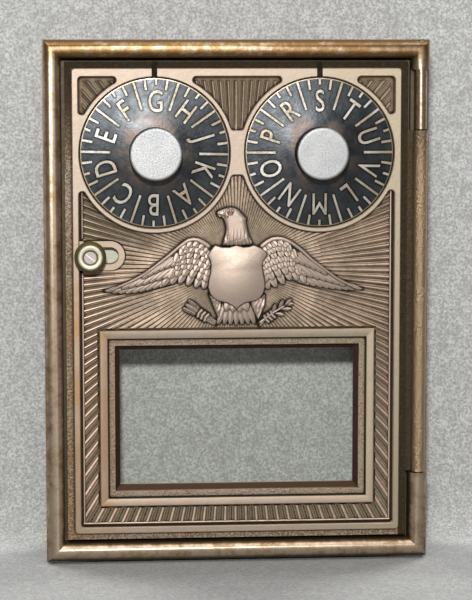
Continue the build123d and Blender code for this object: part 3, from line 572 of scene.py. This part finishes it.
# ---- Eagle -----------------------------------------------
# Cast in one with the door: a spread eagle with a plain shield, arrows on its left and a branch.
# Feathers overlap like tiles; every form has a dark line of dirt and painted shade round it, and its top is
# rubbed.
wing_base = 2.27
left_crest = (
    (-6.1, 12.9), (-7.1, 14.1), (-9.5, 15.35), (-11.3, 15.0), (-13.1, 13.7), (-15.9, 11.2), (-18.7, 9.0),
    (-21.5, 6.9), (-24.3, 5.35), (-27.0, 4.1), (-29.3, 3.4), (-31.0, 2.95),
)
left_hem = (
    (-7.2, 2.9), (-9.5, 3.2), (-11.5, 3.7), (-12.9, 4.2), (-14.3, 4.3), (-17.3, 3.8), (-19.8, 3.1),
    (-22.1, 2.5), (-24.3, 2.2), (-26.5, 2.1), (-28.8, 2.3), (-31.0, 2.85),
)
right_crest = (
    (5.0, 12.9), (6.2, 14.2), (8.0, 15.2), (9.8, 15.4), (12.1, 14.5), (14.9, 12.4), (17.2, 10.1),
    (20.0, 7.9), (22.8, 5.7), (25.6, 4.1), (27.6, 3.3), (29.4, 2.85),
)
right_hem = (
    (6.6, 2.7), (8.4, 3.0), (10.0, 3.5), (11.5, 4.2), (12.9, 5.2), (16.3, 3.9), (18.9, 3.3), (21.1, 2.85),
    (23.9, 2.65), (26.0, 2.6), (27.6, 2.65), (29.4, 2.8),
)
# Rows of feathers: count, first tip and last tip as shares across the wing and down it, how far back
# the roots lie, then width, base, lift, dome and point.
feather_rows = (
    (9, (0.985, 0.98), (0.47, 0.985), (0.36, 0.42), 1.7, -0.2, 0.3, 0.2, 0.25),
    (7, (0.84, 0.50), (0.44, 0.74), (0.25, 0.26), 1.7, 0.0, 0.32, 0.2, 0.15),
    (6, (0.66, 0.27), (0.37, 0.46), (0.20, 0.17), 1.5, 0.2, 0.3, 0.18, 0.1),
    (6, (0.42, 0.99), (0.03, 0.99), (0.06, 0.40), 2.0, 0.05, 0.25, 0.16, 0.35),
    (6, (0.37, 0.81), (0.02, 0.83), (0.05, 0.30), 1.9, 0.15, 0.28, 0.14, 0.2),
)
scale_rows = 5
along_feather = (0.0, 0.2, 0.4, 0.6, 0.75, 0.86, 0.94, 0.985)
across_feather = (-1.0, -0.6, -0.14, 0.0, 0.14, 0.6, 1.0)
feather_end = 0.6
quill = 0.05
relief_foot = 1.55
dirt_and_shade_reach = 0.35
shield_outline = (
    (-0.25, 13.35), (-1.93, 12.85), (-3.61, 12.9), (-5.2, 13.4), (-6.1, 12.35), (-7.0, 10.95),
    (-6.4, 9.9), (-6.15, 8.6), (-6.3, 7.0), (-6.75, 4.9), (-6.85, 3.6), (-6.4, 2.1), (-5.6, 1.1),
    (-4.6, 0.4), (-2.5, -0.05), (-1.2, -0.7), (-0.2, -1.55), (0.7, -0.7), (1.8, -0.08), (4.2, 0.35),
    (5.3, 1.1), (5.95, 2.0), (6.4, 3.5), (6.35, 4.9), (5.95, 6.9), (5.75, 8.6), (6.0, 9.6), (7.0, 11.1),
    (6.3, 12.0), (5.3, 12.7), (3.8, 13.35), (2.6, 12.95), (1.4, 12.85),
)
head_outline = (
    (-3.6, 13.1), (-3.3, 14.5), (-2.9, 15.6), (-2.72, 16.8), (-2.8, 17.8), (-3.05, 18.7), (-3.3, 19.35),
    (-3.75, 19.65), (-4.35, 19.7), (-4.75, 20.1), (-4.99, 20.75), (-4.7, 21.15), (-3.9, 21.5),
    (-3.0, 21.85), (-1.9, 22.1), (-0.9, 22.05), (-0.1, 21.75), (0.6, 21.25), (1.15, 20.6), (1.7, 20.0),
    (2.45, 19.25), (2.1, 18.9), (2.3, 17.6), (2.55, 16.4), (2.85, 15.3), (3.4, 14.2), (3.7, 13.3),
    (0.0, 12.9),
)
thigh_outlines = (
    (
        (-6.9, 2.2), (-6.2, 0.4), (-5.6, -1.2), (-4.9, -3.0), (-4.4, -4.1), (-3.9, -3.4), (-3.7, -1.6),
        (-3.6, 0.6), (-4.9, 1.4),
    ),
    (
        (6.6, 2.0), (6.5, 0.4), (6.5, -1.0), (5.7, -2.4), (4.8, -4.6), (4.1, -3.0), (3.0, -0.6),
        (2.9, 0.6), (4.6, 1.2),
    ),
)
neck_top, neck_waves = 17.6, 0.13
eye_x, eye_z, eye_radius, socket_radius = -1.62, 21.0, 0.40, 0.80
fletch, points = (-12.0, -0.35), (-4.6, -5.15)
tip, cut = (11.6, -0.6), (4.6, -5.3)
# Leaves of the branch: place along it, lean from it in radians, and length.
leaves = (
    (0.52, 0.75, 2.6), (0.56, -0.75, 2.5), (0.70, 0.55, 2.9), (0.76, -0.55, 2.8), (0.90, 0.22, 2.5),
    (0.94, -0.3, 2.0),
)


def along(line, share):
    """The point at a share of a line's length."""
    parts = [hypot(b[0] - a[0], b[1] - a[1]) for a, b in zip(line, line[1:])]
    left = share * sum(parts)
    for part, a, b in zip(parts, line, line[1:]):
        if left <= part:
            return a[0] + (b[0] - a[0]) * left / part, a[1] + (b[1] - a[1]) * left / part
        left -= part
    return line[-1]


def feather(bm, root, tip, width, base, lift, dome, point, narrow=0.8):
    """One feather from root to tip: domed, with a quill, and lifted at its rounded or pointed end."""
    dx, dz = tip[0] - root[0], tip[1] - root[1]
    length = hypot(dx, dz)
    ux, uz = dx / length, dz / length
    rows = []
    for t in along_feather:
        half = width / 2 * min(1.0, narrow + t)
        if t > feather_end:
            past = (t - feather_end) / (1 - feather_end)
            half *= (1 - point) * (1 - past**2.4) ** 0.5 + point * (1 - past)
        row = []
        for s in across_feather:
            rise = base + lift * t + dome * (1 - s * s) + (quill if s == 0 else 0.0)
            row.append((root[0] + dx * t - uz * s * half, root[1] + dz * t + ux * s * half, rise))
        rows.append(row)
    strip(bm, rows)


def wing(bm, crest, hem):
    """One wing: long quills, then shorter feathers over them in rows, then scales and the front edge."""
    def spot(u, v):
        (x1, z1), (x2, z2) = along(crest, u), along(hem, u)
        return x1 + (x2 - x1) * v, z1 + (z2 - z1) * v

    def row(count, first, last, reach, width, base, *form):
        for i in range(count):
            share = i / (count - 1)
            u, v = (first[k] + (last[k] - first[k]) * share for k in (0, 1))
            root = spot(max(u - reach[0], 0.0), max(v - reach[1], 0.08))
            feather(bm, root, spot(u, v), width, wing_base + base, *form)

    for settings in feather_rows:
        row(*settings)
    for k in range(scale_rows):
        low = 0.68 - 0.115 * k
        edge = 0.33 - 0.012 * (k - 1.5) ** 2
        shift = 0.028 * (k % 2)
        first, last = (edge - shift, low - 0.03), (0.01 + shift, low)
        row(6, first, last, (0.035, 0.22), 1.75, 0.22 + 0.05 * k, 0.3, 0.07, 0.15, 0.7)
    crest_line = [spot(i / 24, 0.05 if i < 22 else 0.3) for i in range(25)]
    bar(bm, crest_line, (1.1, 0.45), wing_base + 0.35, 0.5)


def sides_of(outline):
    """The sides of a closed outline, each as its two ends."""
    return zip(outline, outline[1:] + outline[:1])


def clear_of(outline, x, z):
    """How far a point is from an outline's edge."""
    best = 9.0
    for (ax, az), (bx, bz) in sides_of(outline):
        ex, ez = bx - ax, bz - az
        t = max(0.0, min(1.0, ((x - ax) * ex + (z - az) * ez) / (ex * ex + ez * ez)))
        best = min(best, hypot(x - ax - t * ex, z - az - t * ez))
    return best


def holds(outline, x, z):
    """Whether a point is inside an outline."""
    odd = False
    for (ax, az), (bx, bz) in sides_of(outline):
        if (az > z) != (bz > z) and x < ax + (bx - ax) * (z - az) / (bz - az):
            odd = not odd
    return odd


def relief(bm, outline, height, grain=0.3):
    """A carved form with this outline: height(x, z, depth in from the edge) gives its rise."""
    line = dirt_and_shade_edge(bm)
    fine = []
    for (ax, az), (bx, bz) in sides_of(outline):
        parts = max(1, round(hypot(bx - ax, bz - az) / grain))
        fine += [(ax + (bx - ax) * i / parts, az + (bz - az) * i / parts) for i in range(parts)]
    xs, zs = zip(*fine)
    flat = [Vector(p) for p in fine]
    for i in range(int((max(xs) - min(xs)) / grain) + 1):
        for j in range(int((max(zs) - min(zs)) / grain) + 1):
            x, z = min(xs) + (i + 0.5 * (j % 2)) * grain, min(zs) + j * grain
            if holds(fine, x, z) and clear_of(fine, x, z) > 0.45 * grain:
                flat.append(Vector((x, z)))
    around = [(i, (i + 1) % len(fine)) for i in range(len(fine))]
    found, _, faces, _, _, _ = delaunay_2d_cdt(flat, around, [], 1, 1e-5, False)
    middles = [sum((found[i] for i in face), Vector((0, 0))) / len(face) for face in faces]
    faces = [face for face, middle in zip(faces, middles) if holds(fine, *middle)]
    verts = []
    for x, z in found:
        depth = clear_of(fine, x, z)
        verts.append(bm.verts.new((x * mm, -height(x, z, depth) * mm, z * mm)))
        verts[-1][line] = max(0.0, 1 - depth / dirt_and_shade_reach)
    made = [bm.faces.new([verts[i] for i in face]) for face in faces]
    rim = [side for face in made for side in face.edges if len(side.link_faces) == 1]
    grown = bmesh.ops.extrude_edge_only(bm, edges=rim)["geom"]
    for vert in kind_in(grown, bmesh.types.BMVert):
        vert.co.y = -relief_foot * mm
        vert[line] = 1.0
    bmesh.ops.delete(bm, geom=[v for v in verts if not v.link_faces], context="VERTS")


def plate(bm, outline, rise, edge, fall, foot=1.5):
    """A flat form with upright sides and a narrow chamfer round its top."""
    line = dirt_and_shade_edge(bm)
    face = bm.faces.new([bm.verts.new((x * mm, -(rise - fall) * mm, z * mm)) for x, z in outline])
    top = bmesh.ops.extrude_face_region(bm, geom=[face])["geom"]
    raised = kind_in(top, bmesh.types.BMFace)
    for vert in face.verts:
        vert.co.y = -foot * mm
        vert[line] = 1.0
    for vert in kind_in(top, bmesh.types.BMVert):
        vert[line] = 0.85
    bmesh.ops.recalc_face_normals(bm, faces=raised)
    if raised[0].normal.y > 0:
        bmesh.ops.reverse_faces(bm, faces=raised)
    bmesh.ops.inset_region(
        bm, faces=raised, thickness=edge * mm, depth=fall * mm, use_even_offset=True
    )
    for vert in raised[0].verts:
        vert[line] = 0.0
    if face.is_valid:
        bm.faces.remove(face)


def swell(depth, reach):
    """A quarter circle from 0 at the edge to 1 at reach and beyond."""
    return (1 - (1 - min(depth / reach, 1.0)) ** 2) ** 0.5


def head_rise(x, z, depth):
    """The head: feathered neck, round eye in its socket, and the line of the beak."""
    rise = 2.3 + 0.75 * swell(depth, 1.3)
    if z < neck_top:
        fall = (neck_top - z) / 4
        wave = 8.5 * (x + 0.3) * (1 - 0.2 * fall) + 0.6 * sin(2.6 * z)
        rise += neck_waves * min(1.0, fall) * cos(wave)
    eye = hypot(x - eye_x, z - eye_z)
    rise += 0.25 * max(0.0, 1 - (eye / eye_radius) ** 2)
    if eye_radius + 0.02 < eye < socket_radius:
        rise -= 0.32
    if x < -2.2 and abs(z - 20.15 + 0.28 * (x + 4.0)) < 0.22:
        rise -= 0.28
    if -3.1 < x < -2.75 and z > 19.6:
        rise -= 0.14
    return rise


def thigh_rise(x, z, depth):
    """A thigh, with its short feathers."""
    return 2.3 + 0.5 * swell(depth, 0.9) + 0.10 * cos(7 * x - 2.4 * z)


def on_line(a, b, t, side=0.0):
    """The point a share t of the way from a to b, and side millimetres off it."""
    dx, dz = b[0] - a[0], b[1] - a[1]
    length = hypot(dx, dz)
    return a[0] + dx * t - dz / length * side, a[1] + dz * t + dx / length * side


def toes(bm, a, b, first):
    """A foot's three toes, closed round what lies along a to b."""
    for i in range(3):
        t = first + 0.105 * i
        line = [on_line(a, b, t + 0.012 * abs(k), 0.42 * k) for k in range(-3, 4)]
        bar(bm, line, (0.78, 0.78), 2.35, 0.45)


bm = bmesh.new()
for crest, hem in ((left_crest, left_hem), (right_crest, right_hem)):
    wing(bm, crest, hem)
for share in (i / 3 - 1 for i in range(7)):
    root, end = (-0.25 + 2.2 * share, 0.4), (-0.25 + 4.3 * share, -5.45 + 0.3 * abs(share))
    feather(bm, root, end, 1.75, 2.2, 0.25, 0.22, 0.35)
for share in (i / 1.5 - 1 for i in range(4)):
    root, end = (-0.2 + 1.6 * share, 0.8), (-0.2 + 2.6 * share, -2.7 + 0.5 * abs(share))
    feather(bm, root, end, 2.1, 2.45, 0.28, 0.2, 0.9)
for outline in thigh_outlines:
    relief(bm, outline, thigh_rise)
for side in (-0.75, -0.25, 0.25, 0.75):
    shaft = [on_line(fletch, points, 0.25 + 0.125 * i, side * (1.1 - 0.1 * i)) for i in range(7)]
    bar(bm, shaft, (0.5, 0.42), 2.1, 0.35)
for side in (-0.85, 0.0, 0.85):
    root = on_line(fletch, points, 0.40, side * 0.8)
    end = on_line(fletch, points, -0.02, side * 1.35)
    feather(bm, root, end, 1.25, 2.15 + 0.15 * (side == 0.0), 0.2, 0.3, 0.3)
    for i in range(3):
        nick = on_line(fletch, points, 0.04 + 0.09 * i, side * 1.25)
        back = on_line(fletch, points, 0.10 + 0.09 * i, side * 1.1)
        bar(bm, [back, nick], (0.16, 0.12), 2.55, 0.18)
toes(bm, fletch, points, 0.42)
stalk = [on_line(cut, tip, i / 6, 0.25 * sin(pi * i / 6)) for i in range(7)]
bar(bm, stalk, (0.75, 0.45), 2.2, 0.45)
twig = [on_line(cut, tip, 0.02 + 0.3 * i / 6, -0.55 + 0.1 * i) for i in range(7)]
bar(bm, twig, (0.5, 0.4), 2.1, 0.35)
for t, lean, size in leaves:
    turn = atan2(tip[1] - cut[1], tip[0] - cut[0]) + lean
    root = on_line(cut, tip, t)
    end = root[0] + size * cos(turn), root[1] + size * sin(turn)
    feather(bm, root, end, 1.2, 2.2 + 0.12 * (lean > 0), 0.25, 0.22, 0.7, 0.3)
toes(bm, cut, tip, 0.28)
relief(bm, head_outline, head_rise, 0.24)
plate(bm, shield_outline, 3.25, 0.35, 0.2)
bmesh.ops.recalc_face_normals(bm, faces=bm.faces)


def eagle_brass(tree):
    rise, x, _ = up_from_seat(tree)
    # Painted light: the right half is made a little brighter, on top of the wear by height.
    wear = calc(tree, "ADD", span(tree, rise, 1.95, 2.75, 0.1, 1.1), span(tree, x, 0.0, 20.0, 0.0, 0.25))
    # Dirt and painted shade: the edge layer and the occlusion mask darken the line round every form.
    edge = node(tree, "Attribute", attribute_name="line").outputs["Fac"]
    dirt_and_shade = calc(tree, "MAXIMUM", hollow_shade_and_dirt(tree, 0.7 * mm, 0.3, 0.85), span(tree, edge, 0.15, 0.7))
    bright, dull, grime_and_shade = (0.56, 0.445, 0.365), (0.20, 0.135, 0.09), (0.035, 0.025, 0.018)
    return brass_in(tree, wear, dirt_and_shade, bright, dull, grime_and_shade)


finished(bm, "eagle_relief", "door", shaded("eagle_brass", eagle_brass))


# ---- Window glass and its retainer -----------------------
# A pane of plain glass, laid in from behind under a sheet brass frame that four screws hold.
# The glass is clear and a little green, with a gloss on its outer faces; the frame is dull sheet.
sheet_edge = 0.08 * mm
glass, tree = blank("window_glass")
clear = node(tree, "BsdfTransparent", {"Color": (0.99, 1.0, 0.985)})
gloss = node(tree, "BsdfGlossy", {"Color": (0.9, 0.9, 0.9), "Roughness": 0.03})
front = calc(tree, "SUBTRACT", 1.0, node(tree, "NewGeometry").outputs["Backfacing"])
share = calc(tree, "MULTIPLY", node(tree, "Fresnel", {"IOR": 1.45}).outputs[0], front)
both = node(tree, "MixShader", {0: share, 1: clear.outputs[0], 2: gloss.outputs[0]})
node(tree, "OutputMaterial", {"Surface": both.outputs[0]})
coat("window_glass", glass)


def sheet_finish(tree):
    # Painted shade: the occlusion mask darkens the sheet in its hollows.
    return brass_in(tree, 0.35, hollow_shade_and_dirt(tree, 1.5 * mm), (0.46, 0.36, 0.20), (0.26, 0.20, 0.10))


sheet_brass = shaded("sheet_brass", sheet_finish)
dress("glass_retainer", "door", sheet_brass, sheet_edge)


# ---- Lock case and screws --------------------------------
# A drawn brass pan over the works, screwed to four posts. The screws are plain steel cheese heads.
case_edge = 0.2 * mm
screw_edge = 0.12 * mm
dress("lock_case", "door", sheet_brass, case_edge)
for group in ("lock_case_screws", "glass_retainer_screws"):
    dress(group, "door", steel, screw_edge)


# ---- Dials -----------------------------------------------
# Blackened brass discs, gently domed, with the letters and division lines cast in low relief.
# The relief is rubbed white to brass, and the black is worn brown round the knobs.
dial_radius = 17.14
dial_profile = (
    (2.42, 0.9), (17.14, 0.9), (17.14, 2.45), (17.0, 2.6), (14.0, 2.8), (11.0, 3.03), (9.0, 3.26), (7.0, 3.5),
    (5.6, 3.62), (2.42, 3.62),
)
dial_letters = {"left": "GHJKABCDEF", "right": "STUVLMNOPR"}
dial_turns = {"left": radians(1.25), "right": 0.0}
dial_middles = {"left": -dial_x, "right": dial_x}
letter_middle = 0.700
letter_height = 5.2
letter_width = 0.72
letter_edge = 0.05
cap_share = 0.73
mark_width = 0.6
mark_rise = 0.27
mark_edge = 0.07
long_mark = (0.59, 0.985)
middle_mark = (0.84, 0.985)
short_mark = (0.90, 0.985)
marks_in_turn = (short_mark, middle_mark, long_mark, middle_mark)
mark_count = 40


def turned(profile, x, z, steps):
    """Spins a profile of radius and rise about an axis that points out of the front."""
    bm = bmesh.new()
    line = [bm.verts.new(((x + r) * mm, -h * mm, z * mm)) for r, h in profile]
    for first, second in zip(line, line[1:] + line[:1]):
        bm.edges.new((first, second))
    bmesh.ops.spin(
        bm, geom=bm.verts[:] + bm.edges[:], axis=(0, 1, 0), cent=(x * mm, 0, z * mm),
        angle=2 * pi, steps=steps, use_merge=True,
    )
    bmesh.ops.remove_doubles(bm, verts=bm.verts, dist=weld / 2)
    bmesh.ops.recalc_face_normals(bm, faces=bm.faces)
    return bm


def dial_rise(radius):
    """The dial's height at a radius, along its profile."""
    for (r1, h1), (r2, h2) in zip(dial_profile[3:], dial_profile[4:]):
        if r2 <= radius <= r1:
            return h2 + (h1 - h2) * (radius - r2) / (r1 - r2)
    return dial_profile[3][1]


def on_dial(side, turn, radius):
    """Where a mark stands: upright at the top, turned clockwise, and tilted with the dome."""
    tilt = atan2(dial_rise(radius - 1) - dial_rise(radius + 1), 2)
    middle = Matrix.Translation((dial_middles[side] * mm, 0, dial_z * mm))
    about = middle @ Matrix.Rotation(turn + dial_turns[side], 4, "Y")
    out = Matrix.Translation((0, -dial_rise(radius) * mm, radius * mm))
    return about @ out @ Matrix.Rotation(-tilt, 4, "X")


def add_mesh(bm, mesh, matrix):
    """Adds a mesh, moved by a matrix, to a bmesh."""
    mesh.transform(matrix)
    bm.from_mesh(mesh)
    bpy.data.meshes.remove(mesh)


def mark_mesh(inner, outer):
    """One division line as a mesh with rounded edges."""
    bm = bmesh.new()
    length = (outer - inner) * dial_radius
    size = Matrix.Diagonal((mark_width * mm, 2 * mark_rise * mm, length * mm, 1))
    bmesh.ops.create_cube(bm, size=1.0, matrix=size)
    bmesh.ops.bevel(
        bm, geom=bm.edges[:], offset=mark_edge * mm, offset_type="OFFSET", affect="EDGES",
        segments=1, profile=0.5, material=-1,
    )
    return mesh_from(bm, "mark")


def letter_mesh(letter):
    """One capital as a mesh with rounded edges, standing up from the XZ plane towards -Y."""
    text = bpy.data.curves.new("letter", "FONT")
    text.body = letter
    text.size = letter_height / cap_share * mm
    text.align_x = "CENTER"
    text.extrude = mark_rise * mm
    text.bevel_depth = letter_edge * mm
    text.bevel_resolution = 1
    text.resolution_u = 4
    holder = in_scene("letter", text)
    bpy.context.view_layer.update()
    outline = holder.evaluated_get(bpy.context.evaluated_depsgraph_get())
    mesh = bpy.data.meshes.new_from_object(outline)
    bpy.data.objects.remove(holder)
    middle = Matrix.Translation((0, -letter_height / 2 * mm, 0))
    narrow = Matrix.Diagonal((letter_width, 1, 1, 1))
    mesh.transform(Matrix.Rotation(pi / 2, 4, "X") @ middle @ narrow)
    return mesh


def dial_black(middle):
    """The look of the dial whose middle is there; it needs the place for the wear round the knob."""
    def look(tree):
        where = place_mm(tree)
        spots = noise(tree, where, 0.8, 4.0, 0.65)
        clouds = noise(tree, where, 4.0)
        away = node(tree, "VectorMath", {0: where, 1: middle}, operation="DISTANCE").outputs["Value"]
        rubbed = calc(tree, "MULTIPLY", span(tree, away, 5.5, 11.0, 1.0, 0.0), span(tree, clouds, 0.4, 0.62))
        colour = blend(tree, spots, (0.020, 0.022, 0.025), (0.075, 0.082, 0.088))
        colour = blend(tree, calc(tree, "MULTIPLY", rubbed, 0.55), colour, (0.16, 0.105, 0.075))
        # Painted shade: the occlusion mask darkens the dial to near black round the letters and lines.
        colour = blend(tree, hollow_shade_and_dirt(tree, 0.6 * mm, 0.7, 0.99), colour, (0.008, 0.008, 0.009))
        colour = blend(tree, span(tree, away, 16.75, 16.95), colour, (0.42, 0.33, 0.22))
        return colour, span(tree, clouds, 0.3, 0.7, 0.27, 0.40), spots

    return look


def relief_white(tree):
    where = place_mm(tree)
    spots = noise(tree, where, 0.6)
    clouds = noise(tree, where, 7.0, 2.0)
    colour = blend(tree, span(tree, clouds, 0.35, 0.65), (0.57, 0.545, 0.50), (0.37, 0.31, 0.22))
    colour = blend(tree, span(tree, spots, 0.5, 0.75, 0.0, 0.5), colour, (0.22, 0.20, 0.17))
    return colour, span(tree, spots, 0.3, 0.7, 0.42, 0.55), spots


relief_finish = shaded("dial_relief", relief_white, metallic=0.75)
for side, letters in dial_letters.items():
    body, x = side + "_dial_set", dial_middles[side]
    black = shaded(side + "_dial_black", dial_black((x, -3.0, dial_z)))
    disc_bm = turned(dial_profile, x, dial_z, 96)
    finished(disc_bm, side + "_dial_disc", body, black, 0, (side + "_dial",))
    bm = bmesh.new()
    for step in range(mark_count):
        inner, outer = marks_in_turn[step % 4]
        at = on_dial(side, step * 2 * pi / mark_count, (inner + outer) / 2 * dial_radius)
        add_mesh(bm, mark_mesh(inner, outer), at)
    for step, letter in enumerate(letters):
        at = on_dial(side, step * 2 * pi / len(letters), letter_middle * dial_radius)
        add_mesh(bm, letter_mesh(letter), at)
    finished(bm, side + "_dial_relief", body, relief_finish)


# ---- Dial knobs ------------------------------------------
# Turned buttons with flat faces, of dull nickel. Their sides are painted near black as shade, and the faces
# finely pitted.
knob_profile = (
    (0.0, 3.4), (4.6, 3.4), (4.6, 4.3), (5.75, 4.3), (5.95, 4.5), (5.95, 10.1), (5.88, 10.35), (5.7, 10.46),
    (5.55, 10.5), (5.3, 10.5), (0.0, 10.5),
)


def knob_nickel(tree):
    where = place_mm(tree)
    pits = noise(tree, where, 0.35, 4.0, 0.7)
    # Painted shade: all but the face is painted near black.
    face = span(tree, up_from_seat(tree)[0], 10.0, 10.45)
    pale = blend(tree, noise(tree, where, 3.0, 2.0), (0.36, 0.37, 0.38), (0.52, 0.52, 0.50))
    pale = blend(tree, span(tree, pits, 0.5, 0.7, 0.0, 0.5), pale, (0.24, 0.23, 0.22))
    return blend(tree, face, (0.05, 0.05, 0.05), pale), span(tree, pits, 0.3, 0.7, 0.42, 0.6), pits


nickel = shaded("knob_nickel", knob_nickel, metallic=0.9)
for side, x in dial_middles.items():
    bm = turned(knob_profile, x, dial_z, 72)
    finished(bm, side + "_knob", side + "_dial_set", nickel, 0, (side + "_dial_knob",))


# ---- Hidden works ----------------------------------------
# Spindles, washers, tumbler wheels and nuts behind the dials; brass for the turned pieces, else steel.
turned_brass = shaded("turned_brass", sheet_finish)
for side in dial_middles:
    for piece in ("_spindle", "_tumbler"):
        coat(side + piece, turned_brass)
    for piece in ("_spring_washer", "_spindle_nut"):
        coat(side + piece, steel)
for piece in ("fence_lugs", "slide_guide_screws"):
    coat(piece, steel)
for piece in ("latch_bolt", "bolt_rivets", "spring_guide_pin"):
    coat(piece, turned_brass)


# ---- Latch slide -----------------------------------------
# A stamped plate behind the door; through the slot it shows as a dull grey-green face.
def slide_look(tree):
    spots = noise(tree, place_mm(tree), 0.6, 4.0, 0.65)
    colour = blend(tree, spots, (0.40, 0.41, 0.33), (0.66, 0.66, 0.55))
    return colour, span(tree, spots, 0.3, 0.7, 0.45, 0.6), spots


coat("latch_slide", shaded("slide_grey", slide_look, metallic=0.6))


# ---- Latch spring ----------------------------------------
# A coil of steel wire between the slide's tab and a lug of the door; in the lock it shortens as the latch
# opens, and this script gives it one shape.
spring_bm = welded("latch_spring")
spring = finished(spring_bm, "latch_spring_coil", "door", steel, 0, ("latch_spring",))
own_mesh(spring)


# ---- Latch knob ------------------------------------------
# Turned brass, round in the side and olive brown, with a bright lip round the end of its stem.
# The stem's end is mauve-grey, with one bright scratch across it.
latch_x = -33.88
latch_profile = (
    (1.42, 3.4), (2.2, 3.4), (2.9, 4.0), (3.4, 4.9), (3.65, 6.1), (3.6, 6.75), (3.38, 7.3), (3.0, 7.72),
    (2.62, 7.96), (2.4, 8.0), (1.42, 7.72),
)
across_scratch = (0.62, 0.78)


def knob_brass(tree):
    wear = span(tree, up_from_seat(tree)[0], 7.72, 7.95, -0.5, 1.3)
    # Painted shade: the occlusion mask darkens the knob in its hollows.
    return brass_in(tree, wear, hollow_shade_and_dirt(tree, 1.0 * mm), (0.64, 0.61, 0.50), (0.19, 0.15, 0.05))


def stem_end(tree):
    _, x, z = up_from_seat(tree)
    dx, dz = across_scratch
    spots = noise(tree, place_mm(tree), 0.5, 3.0, 0.6)
    slant = calc(tree, "MULTIPLY_ADD", x, dx, calc(tree, "MULTIPLY", z, dz))
    scratch = calc(tree, "ABSOLUTE", calc(tree, "SUBTRACT", slant, dx * latch_x + dz * latch_z))
    colour = blend(tree, spots, (0.34, 0.285, 0.28), (0.50, 0.44, 0.43))
    colour = blend(tree, span(tree, scratch, 0.06, 0.14, 0.8, 0.0), colour, (0.80, 0.74, 0.66))
    return colour, span(tree, spots, 0.3, 0.7, 0.4, 0.55), spots


bm = turned(latch_profile, latch_x, latch_z, 72)
knob_finish = shaded("latch_knob_brass", knob_brass)
finished(bm, "latch_knob_turned", "latch", knob_finish, 0, ("latch_knob",))
coat("latch_stem", shaded("stem_end", stem_end))


# ---- Backdrop --------------------------------------------
# A plain pale sweep behind and under the door. It is see-through from behind, for the back views,
# and lets the lamps behind it through to the object.
floor_z = -0.0608
wall_y = 0.0218
sweep_reach = 3.0
sweep_radius = 0.012
bm = bmesh.new()
line = [
    bm.verts.new((-sweep_reach, y, z))
    for y, z in ((-sweep_reach, floor_z), (wall_y, floor_z), (wall_y, sweep_reach))
]
for ends in zip(line, line[1:]):
    bm.edges.new(ends)
bmesh.ops.bevel(
    bm, geom=[line[1]], offset=sweep_radius, offset_type="OFFSET", affect="VERTICES",
    segments=8, profile=0.5, material=-1,
)
wide = bmesh.ops.extrude_edge_only(bm, edges=bm.edges[:])["geom"]
bmesh.ops.translate(bm, vec=(2 * sweep_reach, 0, 0), verts=kind_in(wide, bmesh.types.BMVert))
bmesh.ops.recalc_face_normals(bm, faces=bm.faces)
if sum(face.normal.z for face in bm.faces) < 0:
    bmesh.ops.reverse_faces(bm, faces=bm.faces)
for face in bm.faces:
    face.smooth = True
cloth, tree = blank("pale_cloth")
where = place_mm(tree)
fibre = span(tree, noise(tree, where, 0.55, 2.0, 0.7), 0.3, 0.7)
mottle = span(tree, noise(tree, where, 3.5, 4.0, 0.7), 0.35, 0.7, 0.0, 0.35)
# Painted shade: the floor part of the sweep is darker than the wall.
floor_shade = span(tree, node(tree, "SeparateXYZ", {0: where}).outputs["Y"], 8.0, 20.0, 0.62, 0.0)
pale = blend(tree, fibre, (0.40, 0.40, 0.385), (0.78, 0.78, 0.76))
pale = blend(tree, mottle, pale, (0.36, 0.36, 0.35))
pale = blend(tree, floor_shade, pale, (0.22, 0.22, 0.22))
matt = node(tree, "BsdfDiffuse", {"Color": pale})
clear = node(tree, "BsdfTransparent")
ray = node(tree, "LightPath").outputs
first_hit = calc(tree, "LESS_THAN", ray["Ray Depth"], 1.5)
to_lamp = calc(tree, "MULTIPLY", ray["Is Shadow Ray"], first_hit)
behind = calc(tree, "MAXIMUM", node(tree, "NewGeometry").outputs["Backfacing"], to_lamp)
both = node(tree, "MixShader", {0: behind, 1: matt.outputs[0], 2: clear.outputs[0]})
node(tree, "OutputMaterial", {"Surface": both.outputs[0]})
mesh = mesh_from(bm, "backdrop")
mesh.materials.append(cloth)
in_scene("backdrop", mesh)


# ---- Lights ----------------------------------------------
# A small lamp a little above and left of the camera, a wide one overhead, two behind the backdrop for
# the back and sides, and a plain pale world that is brighter to the camera than to the object.
def lamp(name, place, target, size, power):
    """A round lamp that points at the target and can't itself be seen."""
    light = bpy.data.lights.new(name, "AREA")
    light.shape = "DISK"
    light.size = size
    light.energy = power
    made = in_scene(name, light)
    made.location = place
    made.visible_camera = False
    made.rotation_euler = (Vector(target) - Vector(place)).to_track_quat("-Z", "Y").to_euler()


lamp("key", (-0.048, -0.50, 0.148), (0, 0, 0), 0.035, 1.75)
lamp("ceiling", (0.0, -0.30, 0.62), (0, 0, 0), 0.6, 2.1)
lamp("back right", (0.45, 0.45, 0.3), (0, 0.02, 0), 0.4, 5.0)
lamp("back left", (-0.45, 0.45, 0.3), (0, 0.02, 0), 0.4, 5.0)
world = bpy.data.worlds.new("studio")
bpy.context.scene.world = world
world.use_nodes = True
tree = world.node_tree
air = tree.nodes["Background"].inputs
put(tree, (0.80, 0.80, 0.80), air["Color"])
seen = node(tree, "LightPath").outputs["Is Camera Ray"]
put(tree, span(tree, seen, 0.0, 1.0, 0.05, 0.5), air["Strength"])


# ---- Camera ----------------------------------------------
# Almost square to the door, a little left of it and above it, from about half a metre.
camera = bpy.data.cameras.new("camera")
camera.sensor_width = 36.0
camera.lens = 132.4
viewer = in_scene("camera", camera)
viewer.location = (-0.03850, -0.50771, 0.05707)
viewer.rotation_euler = (radians(83.633), radians(0.046), radians(-4.326))
bpy.context.scene.camera = viewer
bpy.context.scene.view_settings.view_transform = "Standard"
